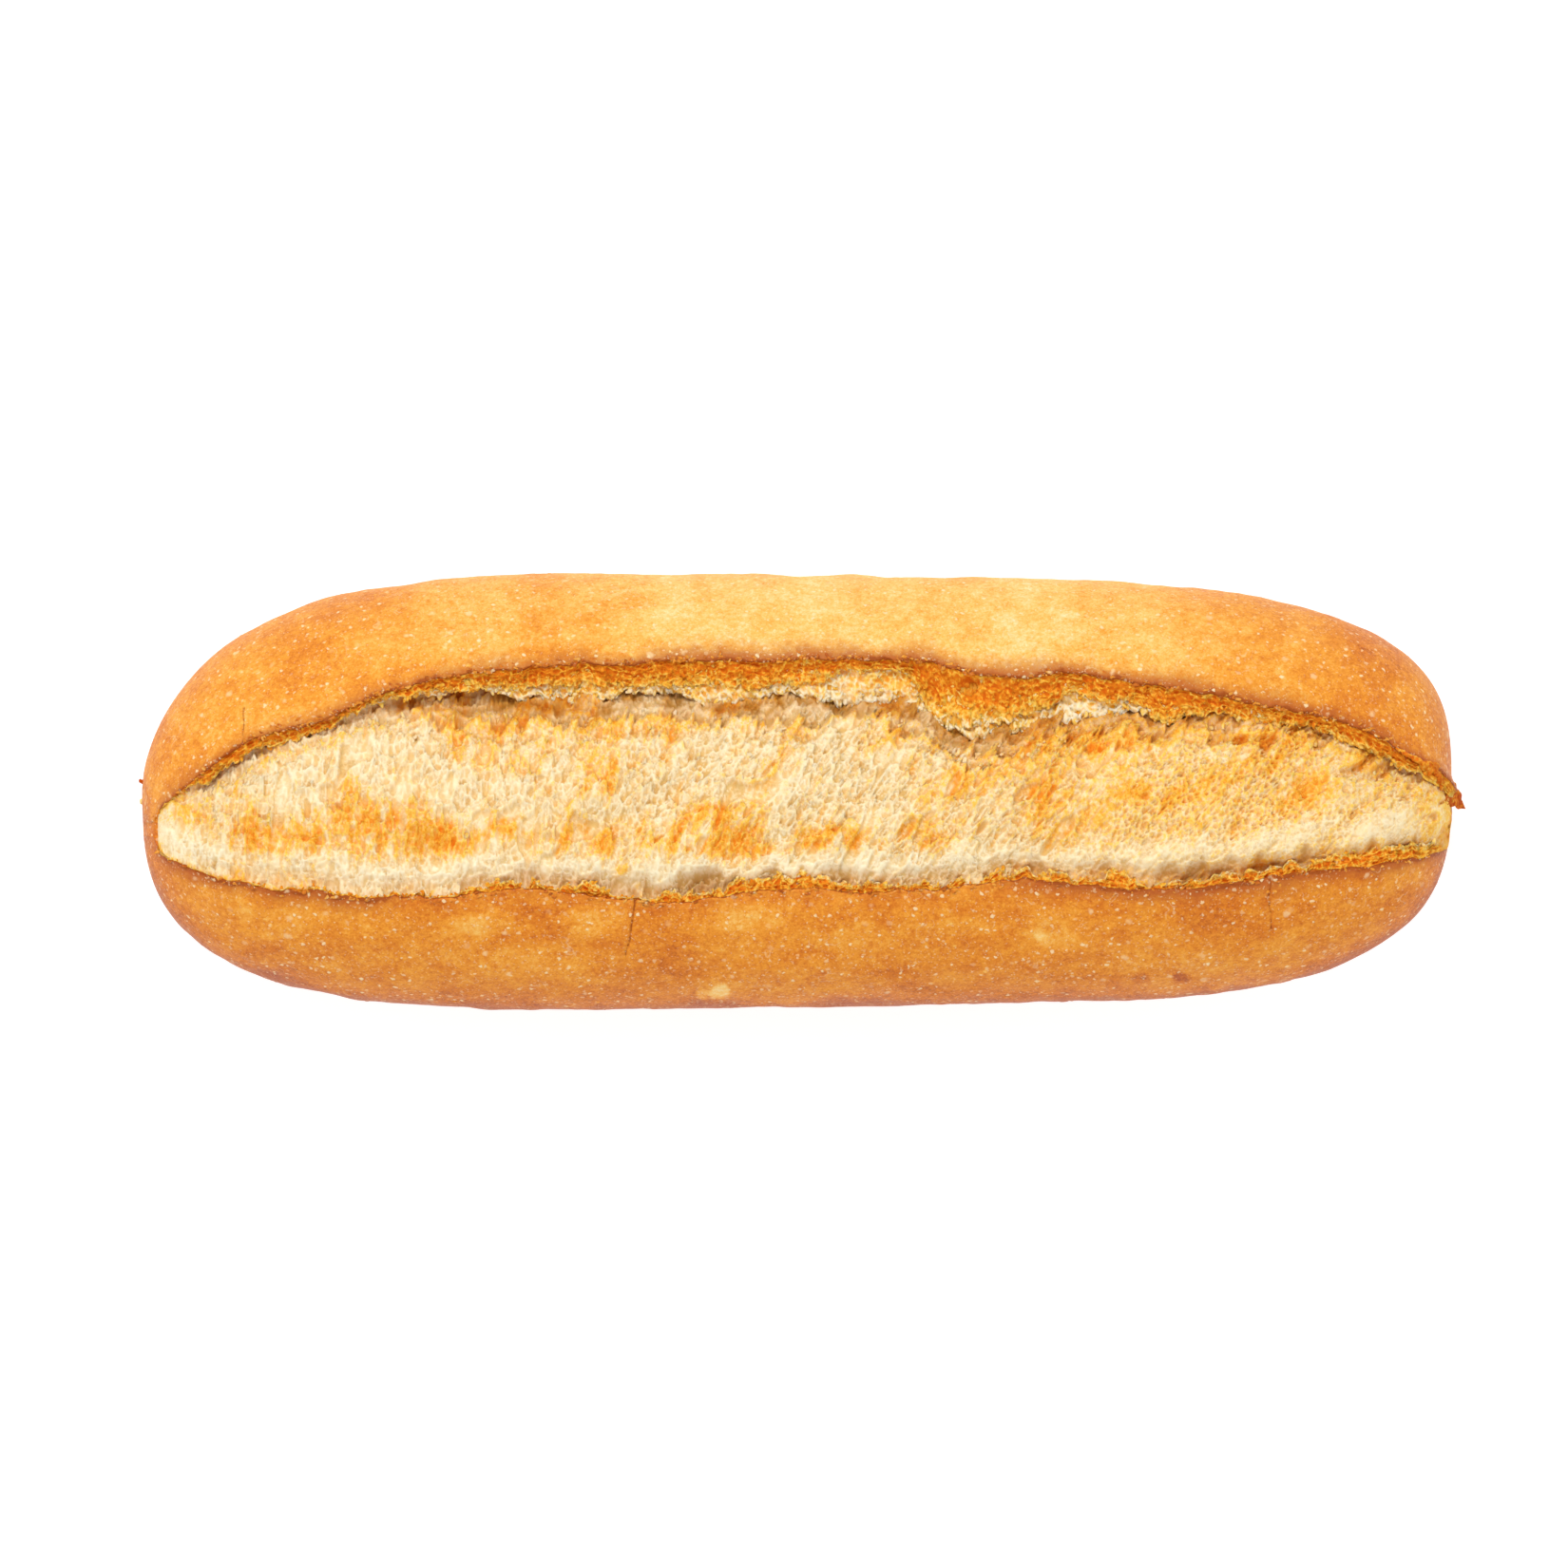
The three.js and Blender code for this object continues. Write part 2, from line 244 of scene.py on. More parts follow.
class Sections:
    """The loaf's sections across X at stations t, from -1 to 1, as columns to spread over rows."""

    def __init__(self, t, fine_tear=0.0):
        t = np.asarray(t, float)[:, None]
        self.x = CENTRE_X + HALF_LENGTH * t
        share = share_at(PROFILE, t)
        self.far, self.near = half_width(FAR_SIDE, t), half_width(NEAR_SIDE, t)
        self.dome, self.underside = DOME * share, WIDEST_Z * SINK * share
        self.far_lip = self.lip(FAR_LIP, SEED["far_lip"], fine_tear)
        self.near_lip = self.lip(NEAR_LIP, SEED["near_lip"], fine_tear)
        self.open = smooth(self.far_lip - self.near_lip, SHUT, FULL_OPENING)

    def lip(self, points, seed, fine_tear):
        y = through(points, self.x) + RAGGED * noise(self.x / RAGGED_SIZE, 0, seed)
        y = y + fine_tear * (noise(self.x / 2.1, 3, seed) + 0.6 * noise(self.x / 0.8, 7, seed))
        return np.clip(y, -LIP_LIMIT * self.near, LIP_LIMIT * self.far)

    def body(self, angle):
        c, s = np.cos(angle), np.sin(angle)
        power = 2 / np.where(s < 0, UNDERSIDE_POWER, DOME_POWER)
        width = np.where(c < 0, -self.near, self.far)
        height = np.where(s < 0, -self.underside, self.dome)
        return width * np.abs(c) ** power, WIDEST_Z + height * np.abs(s) ** power

    def share_across(self, y):
        return np.minimum(np.abs(y) / np.where(y < 0, self.near, self.far), 1)

    def dome_at(self, y):
        return WIDEST_Z + self.dome * (1 - self.share_across(y) ** DOME_POWER) ** (1 / DOME_POWER)

    def angle_at(self, y):
        angle = np.arccos(self.share_across(y) ** (DOME_POWER / 2))
        return np.where(y < 0, np.pi - angle, angle)

    def ear_at(self, y):
        far = FAR_EAR * smooth(y, self.far_lip - EAR_FOOT, self.far_lip)
        near = NEAR_EAR * smooth(-y, -self.near_lip - EAR_FOOT, -self.near_lip)
        back = smooth(EAR_REACH - np.maximum(y - self.far_lip, self.near_lip - y), 0, EAR_REACH)
        return self.open * (far + near) * back

    def wave_at(self, y, z):
        wave = CRUST_WAVE * noise(self.x / CRUST_WAVE_SIZE, y / CRUST_WAVE_SIZE, SEED["crust"])
        return wave * smooth(z, EVEN_BELOW, WIDEST_Z)

    def tip_at(self, y, z):
        out = smooth(self.x, TIP["from"], TIP["to"]) * smooth(z, WIDEST_Z - TIP["root"], WIDEST_Z)
        return TIP["push"] * out * np.maximum(1 - np.abs(y + TIP["drop"] - self.far_lip) / TIP["root"], 0)

    def knobs_at(self, angle, z):
        return KNOBS * rough(self.x / 7, angle * 6, 33) * smooth(z, 4, 16)

    def crust_at(self, y):
        """The crust's height over a point of its upper side."""
        z = self.dome_at(y)
        return z + self.ear_at(y) + self.wave_at(y, z) + self.knobs_at(self.angle_at(y), z)


# ---------------------------------------------------------------- meshes

TILE_MARGIN = 0.04


def points_at(x, y, z):
    return np.stack(np.broadcast_arrays(x, y, z), -1)


def with_poles(values):
    """Each tube's values over its rings, then those of its two poles."""
    poles = np.stack([values[:, 0].mean(1), values[:, -1].mean(1)], 1)
    return np.concatenate([values.reshape(len(values), -1, *values.shape[3:]), poles], 1)


def tubes(name, rings, tints, material):
    """One mesh of closed tubes. rings[tube, ring, point] are places in mm; the ends close on a pole."""
    count, along, around = rings.shape[:3]
    points = with_poles(rings)
    r, a = np.meshgrid(np.arange(along - 1), np.arange(around), indexing="ij")
    b = (a + 1) % around
    quads = np.stack([r * around + a, r * around + b, (r + 1) * around + b, (r + 1) * around + a], -1)
    start_pole, last = along * around, (along - 1) * around
    start_cap = np.stack([0 * a[0] + start_pole, b[0], a[0]], -1)
    end_cap = np.stack([0 * a[0] + start_pole + 1, last + a[0], last + b[0]], -1)
    offsets = (np.arange(count) * points.shape[1])[:, None, None]
    quads = (quads.reshape(1, -1, 4) + offsets).reshape(-1, 4)
    caps = (np.concatenate([start_cap, end_cap]) + offsets).reshape(-1, 3)

    mesh = bpy.data.meshes.new(name)
    corners = np.concatenate([quads.ravel(), caps.ravel()])
    starts = np.concatenate([np.arange(len(quads)) * 4, len(quads) * 4 + np.arange(len(caps)) * 3])
    mesh.vertices.add(points.shape[0] * points.shape[1])
    mesh.loops.add(len(corners))
    mesh.polygons.add(len(starts))
    mesh.vertices.foreach_set("co", (points * MM).astype(np.float32).ravel())
    mesh.loops.foreach_set("vertex_index", corners.astype(np.int32))
    mesh.polygons.foreach_set("loop_start", starts.astype(np.int32))
    mesh.update(calc_edges=True)
    mesh.shade_smooth()
    for tint, values in tints.items():
        values = with_poles(np.broadcast_to(values, (count, along, around)))
        attribute = mesh.attributes.new(tint, "FLOAT", "POINT")
        attribute.data.foreach_set("value", values.astype(np.float32).ravel())
    unwrap(mesh, count, r, a)
    mesh.materials.append(material)
    piece = bpy.data.objects.new(name, mesh)
    bpy.context.scene.collection.objects.link(piece)
    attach(piece, "root")
    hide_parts("loaf")


def unwrap(mesh, count, r, a):
    """Lays each tube flat in a tile of its own. r and a number its rings and the points round them."""
    along, around = r.shape[0] + 1, r.shape[1]
    quads = np.stack([[r + 1, r + 1, r + 2, r + 2], [a, a + 1, a + 1, a]]).transpose(2, 3, 1, 0)
    ends, start = a[0], 0 * a[0]
    end = start + along
    start_cap = np.stack([[start, start + 1, start + 1], [ends + 0.5, ends + 1, ends]])
    end_cap = np.stack([[end + 1, end, end], [ends + 0.5, ends, ends + 1]])
    caps = np.concatenate([start_cap, end_cap], 2).transpose(2, 1, 0)
    per_row = int(np.ceil(np.sqrt(count)))
    margin = TILE_MARGIN if count > 1 else 0.0
    tile = np.arange(count)
    corner = np.stack([tile % per_row, tile // per_row], -1)[:, None]

    def placed(corners):
        local = corners.reshape(-1, 2) / (along + 1, around)
        return ((corner + margin + (1 - 2 * margin) * local) / per_row).reshape(-1, 2)

    flat = np.concatenate([placed(quads), placed(caps)])
    mesh.uv_layers.new(name="OFBake").uv.foreach_set("vector", flat.astype(np.float32).ravel())


# ---------------------------------------------------------------- materials

def srgb(red, green, blue):
    """A linear colour from sRGB values of 0 to 255."""
    values = np.array([red, green, blue]) / 255
    linear = np.where(values <= 0.04045, values / 12.92, ((values + 0.055) / 1.055) ** 2.4)
    return (*linear, 1.0)


class Nodes:
    """Short calls for a material's nodes."""

    def __init__(self, name):
        self.material = bpy.data.materials.new(name)
        self.material.use_nodes = True
        self.tree = self.material.node_tree
        self.shader = self.tree.nodes["Principled BSDF"]
        self.place = self.tree.nodes.new("ShaderNodeTexCoord").outputs["Object"]

    def node(self, kind, inputs=(), **settings):
        node = self.tree.nodes.new(kind)
        for key, value in settings.items():
            setattr(node, key, value)
        for key, value in dict(inputs).items():
            self.feed(node.inputs[key], value)
        return node

    def feed(self, socket, value):
        if isinstance(value, bpy.types.NodeSocket):
            self.tree.links.new(value, socket)
        else:
            socket.default_value = value

    def fill(self, settings):
        for socket, value in settings.items():
            self.feed(self.shader.inputs[socket], value)

    def tint(self, name):
        return self.node("ShaderNodeAttribute", attribute_name=name).outputs["Fac"]

    def noise(self, size_mm, detail=3.0, vector=None):
        inputs = {"Vector": vector or self.place, "Scale": 1000 / size_mm}
        inputs = {**inputs, "Detail": detail, "Roughness": 0.6}
        return self.node("ShaderNodeTexNoise", inputs).outputs["Fac"]

    def speckled(self, value, size_mm, detail, weight, vector=None):
        """The value with noise of that weight added."""
        speckle = self.math("SUBTRACT", self.noise(size_mm, detail, vector), 0.5)
        return self.math("ADD", value, self.math("MULTIPLY", speckle, weight))

    def bent(self, size_mm, reach_mm):
        """The place, pushed about by noise."""
        inputs = {"Vector": self.place, "Scale": 1000 / size_mm, "Detail": 3.0}
        drift = {0: self.node("ShaderNodeTexNoise", inputs).outputs["Color"], 1: (0.5, 0.5, 0.5)}
        drift = self.node("ShaderNodeVectorMath", drift, operation="SUBTRACT").outputs[0]
        moved = {0: drift, 1: (reach_mm * MM,) * 3, 2: self.place}
        return self.node("ShaderNodeVectorMath", moved, operation="MULTIPLY_ADD").outputs[0]

    def math(self, operation, a, b=0.0, c=0.0):
        node = self.node("ShaderNodeMath", operation=operation)
        for socket, value in zip(node.inputs, (a, b, c)):
            self.feed(socket, value)
        return node.outputs[0]

    def remap(self, value, low, high, out_low=0.0, out_high=1.0):
        inputs = {"Value": value, "From Min": low, "From Max": high, "To Min": out_low, "To Max": out_high}
        return self.node("ShaderNodeMapRange", inputs, interpolation_type="SMOOTHSTEP").outputs["Result"]

    def ramp(self, value, stops):
        node = self.node("ShaderNodeValToRGB", {"Fac": value})
        elements = node.color_ramp.elements
        while len(elements) < len(stops):
            elements.new(0.5)
        for element, (position, *colour) in zip(elements, stops):
            element.position = position
            element.color = srgb(*colour)
        return node.outputs["Color"]

    def blend(self, share, a, b, kind="MIX"):
        node = self.node("ShaderNodeMix", data_type="RGBA", blend_type=kind)
        self.feed(node.inputs["Factor"], share)
        self.feed(node.inputs[6], a)
        self.feed(node.inputs[7], b)
        return node.outputs[2]

    def bump(self, height, depth_mm, strength=1.0, normal=None):
        inputs = {"Height": height, "Distance": depth_mm * MM, "Strength": strength}
        if normal is not None:
            inputs["Normal"] = normal
        return self.node("ShaderNodeBump", inputs).outputs["Normal"]

    def finish(self, colour, roughness, normal, soft, reach_mm, spread=(1.0, 0.55, 0.28)):
        self.fill({
            "Base Color": colour, "Roughness": roughness, "Normal": normal, "Subsurface Weight": soft,
            "Subsurface Radius": spread, "Subsurface Scale": reach_mm * MM, "Specular IOR Level": SHINE,
        })
        return self.material


# Pale flecks, as size of a cell, least and greatest radius in cells, share of cells, strength
FLECKS = [(0.6, 0.14, 0.27, 0.7, 0.6), (1.3, 0.12, 0.26, 0.65, 1.0), (3.6, 0.08, 0.17, 0.5, 0.6)]
SHINE = 0.15


def crust_material():
    """Baked crust: clouds and mottles of brown, pale flecks and scratches, and a fine leathery grain."""
    n = Nodes("crust")
    bake = n.tint("bake")
    for size, detail, weight in ((15, 2.0, 0.34), (3.4, 3.0, 0.4), (1.0, 4.0, 0.62), (0.4, 3.0, 0.6)):
        bake = n.speckled(bake, size, detail, weight)
    colour = n.ramp(bake, [
        (0.0, 252, 220, 158), (0.25, 247, 192, 98), (0.5, 238, 156, 48), (0.75, 216, 120, 28),
        (1.0, 178, 84, 28),
    ])
    # band browns the crust along its lips, and low on the near side, where part of it is painted shade and
    # sheen.
    band = n.remap(n.speckled(n.tint("band"), 1.4, 3.0, 0.5), 0.0, 1.0)
    band = n.math("MULTIPLY", band, n.remap(n.tint("band"), 0.0, 0.2))
    colour = n.blend(n.math("MULTIPLY", band, 0.9), colour, srgb(180, 90, 36))
    # edge darkens the lips' scorched line, and the cracks as painted shade.
    edge = n.remap(n.speckled(n.tint("edge"), 0.9, 3.0, 1.0), 0.25, 0.75)
    colour = n.blend(edge, colour, srgb(160, 76, 18))

    bent = n.bent(1.1, 1.2)
    flecks = 0.0
    for size, least, most, share, strength in FLECKS:
        spot = n.node("ShaderNodeTexVoronoi", {"Vector": bent, "Scale": 1000 / size})
        chosen = n.node("ShaderNodeSeparateColor", {"Color": spot.outputs["Color"]}).outputs
        radius = n.remap(chosen["Blue"], 0, 1, least, most)
        fleck = n.remap(n.math("SUBTRACT", spot.outputs["Distance"], radius), 0.09, -0.05)
        fleck = n.math("MULTIPLY", fleck, n.math("LESS_THAN", chosen["Red"], share))
        fleck = n.math("MULTIPLY", fleck, n.remap(chosen["Green"], 0, 1, 0.3 * strength, strength))
        flecks = n.math("MAXIMUM", flecks, fleck)
    line = n.math("ABSOLUTE", n.math("SUBTRACT", n.noise(4.2, 1.0, bent), 0.5))
    line = n.math("MULTIPLY", n.remap(line, 0.014, 0.0), n.remap(n.noise(7.0, 2.0), 0.56, 0.64))
    flecks = n.math("MAXIMUM", flecks, n.math("MULTIPLY", line, 0.42))
    colour = n.blend(n.math("MULTIPLY", flecks, 0.8), colour, srgb(255, 230, 180))
    grain = n.noise(0.5, 4.0)
    normal = n.bump(n.noise(1.6, 3.0), 0.16)
    normal = n.bump(grain, 0.12, normal=normal)
    normal = n.bump(flecks, 0.08, normal=normal)
    return n.finish(colour, n.remap(grain, 0.3, 0.7, 0.42, 0.62), normal, 0.1, 0.6)


def crumb_material():
    """Torn crumb: cream to toasted, with painted tan shade in its pits, on its steep slopes and in its
    crevices, and the finest cells as a net whose hollows get painted shade.
    """
    n = Nodes("crumb")
    grown = n.node("ShaderNodeMapping", {"Vector": n.place, "Scale": (1.0, 0.7, 1.0)}).outputs["Vector"]
    patchy = n.remap(n.noise(0.8, 3.0, grown), 0.3, 0.7, 0.66, 1.34)
    toast = n.speckled(n.math("MULTIPLY", n.tint("toast"), patchy), 1.1, 4.0, 0.24, grown)
    colour = n.ramp(toast, [
        (0.0, 255, 243, 216), (0.22, 254, 232, 190), (0.45, 254, 207, 100), (0.75, 246, 174, 50),
        (1.0, 224, 126, 20),
    ])
    # The next two blends paint shade: tan in the crumb's pits, on its steep slopes, in its crevices and on
    # undersides; on the end bits the same tints carry their scorch.
    shade = n.blend(n.remap(n.tint("toast"), 0.1, 0.5), srgb(231, 211, 162), srgb(241, 190, 118))
    colour = n.blend(n.tint("pit_shade_and_scorch"), colour, shade, "MULTIPLY")
    colour = n.blend(n.tint("deep"), colour, srgb(208, 166, 96), "MULTIPLY")
    spot = {"Vector": n.bent(1.3, 1.1), "Scale": 1000 / 0.7}
    walls = n.node("ShaderNodeTexVoronoi", spot, feature="DISTANCE_TO_EDGE").outputs["Distance"]
    hollow = n.math("MULTIPLY", n.remap(walls, 0.03, 0.3), n.remap(n.noise(3.4, 2.0), 0.44, 0.62))
    # Painted shade in the hollows of the finest cells.
    colour = n.blend(n.math("MULTIPLY", hollow, 0.25), colour, srgb(226, 190, 128), "MULTIPLY")
    normal = n.bump(n.noise(0.3, 4.0, grown), 0.08)
    normal = n.bump(hollow, -0.06, normal=normal)
    return n.finish(colour, 0.85, normal, 0.5, 0.7, (1.0, 0.95, 0.88))


# ---------------------------------------------------------------- stations

LEAST_STEP = 0.12
CROWD = np.linspace(-2.2, 2.2, 23)
BASE_STEPS, SIDE_STEPS = 9, 66
BASE_ANGLE = np.radians(-56.5)
CROWDING = 0.7


def even_stations(even, caps, even_share, crowds=()):
    """Stations from -1 to 1, closer together towards the poles and round each x in crowds."""
    cap = even_share + (1 - even_share) * np.sin(np.linspace(0, np.pi / 2, caps + 1))[1:-1]
    middle = np.linspace(-even_share, even_share, even + 1)
    extra = [(CROWD + x - CENTRE_X) / HALF_LENGTH for x in crowds]
    every = np.sort(np.concatenate([-cap, middle, cap, *extra]))
    return every[np.append(True, np.diff(every) > LEAST_STEP / HALF_LENGTH)]


def side_angles(lip_angle):
    """Angles from the middle of the base up to a lip, closer together towards it, for each section."""
    low = np.linspace(-np.pi / 2, BASE_ANGLE, BASE_STEPS, endpoint=False)[None] + 0 * lip_angle
    share = np.linspace(0, 1, SIDE_STEPS + 1)[None]
    return np.hstack([low, mix(BASE_ANGLE, lip_angle, share * (1 + CROWDING * (1 - share)))])


# ---------------------------------------------------------------- crust

# Cracks in the crust, as x, from y, to y, slant, depth
CRACKS = [
    (-30.4, -31.5, -19.0, 0.14, 0.5), (83.1, -27.5, -14.0, -0.1, 0.42), (26.6, -25.0, -17.0, 0.0, 0.25),
    (-100.6, 8.0, 15.5, 0.0, 0.45),
]
CRACK_WIDTH = 0.26


def crack_at(s, y):
    """How deep the crust's cracks are at y."""
    total = 0
    for x, low, high, slant, depth in CRACKS:
        line = x + slant * (y - high) + 0.4 * noise(y / 3.3, x, 21) + 0.15 * noise(y / 0.9, x, 22)
        inside = smooth(y, low - 1, low + 3) * smooth(-y, -high - 1, -high + 1)
        total = total + depth * inside * bell((s.x - line) / CRACK_WIDTH)
    return total


def bake_at(s, y, z):
    """How brown the crust is: pale along the far side's middle, deeper at the ends and the near side."""
    left, right = smooth(-s.x, 10, 95), smooth(s.x, 55, 108)
    side = smooth(y, -12, 12)
    low = smooth(-z, -42, -18)
    golden = smooth(s.x, -70, -55) * smooth(-s.x, -35, 0) * bell((s.near_lip - y - 4.5) / 3.4)
    # Deeper low down, most on the near side: partly the crust's own darker underside, partly painted shade
    # against the floor's light from below.
    bake = mix(0.62 + 0.06 * right + 0.45 * low, 0.27 + 0.25 * left + 0.38 * right + 0.12 * low, side)
    bake = bake + 0.06 * golden
    ragged = 0.3 * noise(s.x / 1.1, y / 1.1, 36)
    # Marks, among them painted highlights below the near lip.
    for x, mid, long, wide, browner in MARKS_AND_HIGHLIGHTS:
        bake = bake + browner * smooth(1.2 + ragged - np.hypot((s.x - x) / long, (y - mid) / wide), 0, 0.7)
    down = y + 0.5 * z
    return bake + 0.14 * rough(s.x / 22, down / 9, 31) + 0.1 * rough(s.x / 6, down / 4, 32)


def crust_point(s, angle):
    """The crust's own surface, without cracks or flakes."""
    y, z = s.body(angle)
    c = np.cos(angle)
    y = y + OUTLINE * rough(s.x / 8, z / 10 + 3 * (c > 0), 29) * np.sign(c) * c ** 4 * smooth(z, 2, 12)
    ear = np.where(z > WIDEST_Z, s.ear_at(y), 0)
    height = np.maximum(z + s.wave_at(y, z) + ear + s.knobs_at(angle, z), 0)
    return points_at(s.x + s.tip_at(y, z), y, height)


def crust_side(s, angle, darkness):
    """One side of the crust from the base to its lip, and its tints."""
    y, z = s.body(angle)
    upper = z > WIDEST_Z
    cracks = np.where(upper, crack_at(s, y), 0)
    from_lip = np.maximum(y - s.far_lip, s.near_lip - y) * np.where(upper, 1, 9)
    flaky = 0.4 * s.open * rough(s.x / 1.5, from_lip / 0.9, 35, 2) * bell(from_lip / 1.1)
    place = crust_point(s, angle)
    place[..., 2] = np.maximum(place[..., 2] + flaky - cracks, 0)
    parted = smooth(s.open, 0, 0.1)
    wide = 2.3 + 0.8 * noise(s.x / 7, 2, 37) + 0.4 * noise(s.x / 2.2, from_lip, 40)
    band = darkness * np.exp(-np.abs(from_lip / wide) ** 1.3) * smooth(z, WIDEST_Z, WIDEST_Z + 6)
    # Low on the near side the crust is browner: partly its own colour, partly painted shade and sheen where
    # it turns away at its lower edge.
    brown_and_edge_shade = 0.7 * smooth(-z, -WIDEST_Z - 12, -WIDEST_Z) * smooth(-y, 0, 20)
    line = 0.55 + 0.3 * noise(s.x / 3.1, 5, 38)
    edge = darkness * bell(from_lip / line) * (0.75 + 0.35 * noise(s.x / 1.9, 6, 39)) * parted
    return place, {
        "bake": bake_at(s, y, z), "band": np.maximum(band, brown_and_edge_shade) * mix(0.5, 1, parted),
        # The cracks are darkened here: painted shade in them.
        "edge": np.clip(edge + 1.3 * cracks, 0, 1),
    }


# The crust's torn edge, over its rim and down: how far back from the lip, how far down, how dark
RIM = [(-0.25, 0.3, 1.0), (-0.3, 0.8, 0.9), (0.0, 1.4, 0.6), (0.7, 2.4, 0.3), (1.0, 8.0, 0.0)]
UNDER_CRUMB = 10
INNER_BAKE = 0.8


def rim_rows(s, side, lip):
    level = s.crust_at(lip)
    return [points_at(s.x, lip + side * back * s.open, level - drop * s.open) for back, drop, dark in RIM]


def make_crust():
    s = Sections(even_stations(440, 26, 0.9, [crack[0] for crack in CRACKS]), FINE_TEAR)
    far_angle = side_angles(s.angle_at(s.far_lip))
    near_angle = np.pi - side_angles(np.pi - s.angle_at(s.near_lip))[:, :0:-1]
    browned = np.maximum(smooth(-s.x, 66, 84), smooth(s.x, 30, 52))
    far, far_tints = crust_side(s, far_angle, 0.75 + 0.25 * smooth(s.x, -40, -10))
    near, near_tints = crust_side(s, near_angle, 0.3 + 0.75 * browned)

    # Over the rims, down the torn edges and across under the crumb
    across = [mix(s.far_lip, s.near_lip, share) for share in (0.25, 0.5, 0.75)]
    floor = [points_at(s.x, y, s.dome_at(y) - UNDER_CRUMB * s.open) for y in across]
    inner = np.hstack([*rim_rows(s, 1, s.far_lip), *floor, *rim_rows(s, -1, s.near_lip)[::-1]])
    inner[..., 0] += s.tip_at(inner[..., 1], inner[..., 2])
    dark = [row[2] for row in RIM]
    inner_tints = {"bake": INNER_BAKE, "band": 0.0, "edge": dark + [0.0] * len(floor) + dark[::-1]}
    tints = {}
    for tint, value in inner_tints.items():
        middle = np.broadcast_to(value, inner.shape[:2])
        tints[tint] = np.hstack([far_tints[tint], middle, near_tints[tint]])[None]
    tubes("crust", np.hstack([far, inner, near])[None], tints, CRUST)


# A blister's rings, as width and height in radii, and how much paler each is, as a share
BLISTER = np.array([(1.2, -1.2, 0), (1.6, -0.4, 0), (1.0, 0.02, 0.1), (0.7, 0.12, 0.8), (0.35, 0.17, 1.0)])


def make_blisters():
    """Small pale blisters, thickest on the near side."""
    random = np.random.default_rng(401)
    count = 640
    t = random.uniform(-0.985, 0.985, count)
    s = Sections(t)
    near = random.random(count) < 0.62
    share = random.uniform(0, 1, count) ** 0.8
    far_angle = mix(-0.35, s.angle_at(s.far_lip)[:, 0] - 0.03, share)
    near_angle = mix(np.pi + 0.45, s.angle_at(s.near_lip)[:, 0] + 0.03, share)
    angle = np.where(near, near_angle, far_angle)[:, None]
    small = 1e-3
    place = crust_point(s, angle)[:, 0]
    across = crust_point(s, angle + small)[:, 0] - place
    along = crust_point(Sections(t + small), angle)[:, 0] - place
    normal = unit(np.cross(across, along))
    first = unit(along)
    second = np.cross(normal, first)
    radius = np.clip(0.22 * np.exp(0.42 * random.standard_normal(count)), 0.12, 0.55)[:, None]
    long = random.uniform(0.8, 1.5, count)[:, None]
    turn = random.uniform(0, np.pi, count)[:, None]
    u = first * np.cos(turn) + second * np.sin(turn)
    v = np.cross(normal, u)
    around = np.linspace(0, 2 * np.pi, 8, endpoint=False)
    ripple = 1 + 0.16 * np.sin(2 * around + 9 * turn) + 0.2 * np.sin(3 * around + 5 * long)
    flat = u[:, None] * (radius * ripple * np.cos(around) * long)[..., None]
    flat = flat + v[:, None] * (radius * ripple * np.sin(around))[..., None]
    wide, high, paleness = BLISTER.T
    rings = place[:, None, None] + wide[:, None, None] * flat[:, None]
    rings = rings + normal[:, None, None] * (high * radius)[..., None, None]
    paler = random.uniform(0.0, 0.26, count)[:, None] * paleness
    bake = bake_at(s, place[:, 1:2], place[:, 2:3]) - paler
    tubes("crust_blisters", rings, {"bake": bake[..., None], "band": 0.0, "edge": 0.0}, CRUST)


# ---------------------------------------------------------------- torn crumb

MOST_RISE = 1.6  # the crumb's relief levels off here
OVERHANG = 0.5  # how far a rise is pulled along the tear, as a share of it
MOST_TOAST = 0.8
PATCH_TOAST = 0.8925
CRUMB_ENDS = (-119.0, 117.4)
CRUMB_COLUMNS, CRUMB_ROWS, UNDER_ROWS = 940, 168, 8
CRUMB_TUCK = 0.9  # how far the crumb goes on under the lips
CRUMB_DEPTH = 13.0
# The two pieces of the crumb meet at this column, where each sinks below the other
CRUMB_SEAM = 500
SEAM_SINK = np.array([0.01, 0.08, 1.0])


def reach_at(points, x, seed, ragged):
    """How far a torn layer reaches in from its lip, with its torn teeth."""
    reach = np.maximum(through(points, x), 0.3)
    teeth = 0.55 * noise(x / 2.3, 0, seed) + 0.35 * noise(x / 0.9, 3, seed)
    teeth = teeth + 0.25 * noise(x / 0.45, 5, seed)
    teeth = teeth + 0.4 * noise(x / 6, 8, seed)
    return np.maximum(reach + ragged * teeth * smooth(reach, 0.3, 1.6), 0.25)


def lean_at(x):
    """The torn cells lean with the tear, more so to the right."""
    return mix(0.1, 0.6, smooth(x, -85, 50))


def folds(u, v):
    """Thin ridges that run up the tear."""
    return crest(noise(u / 2.1, v / 9, 92), 0.22) + 0.6 * crest(noise(u / 1.1, v / 9, 94), 0.25)


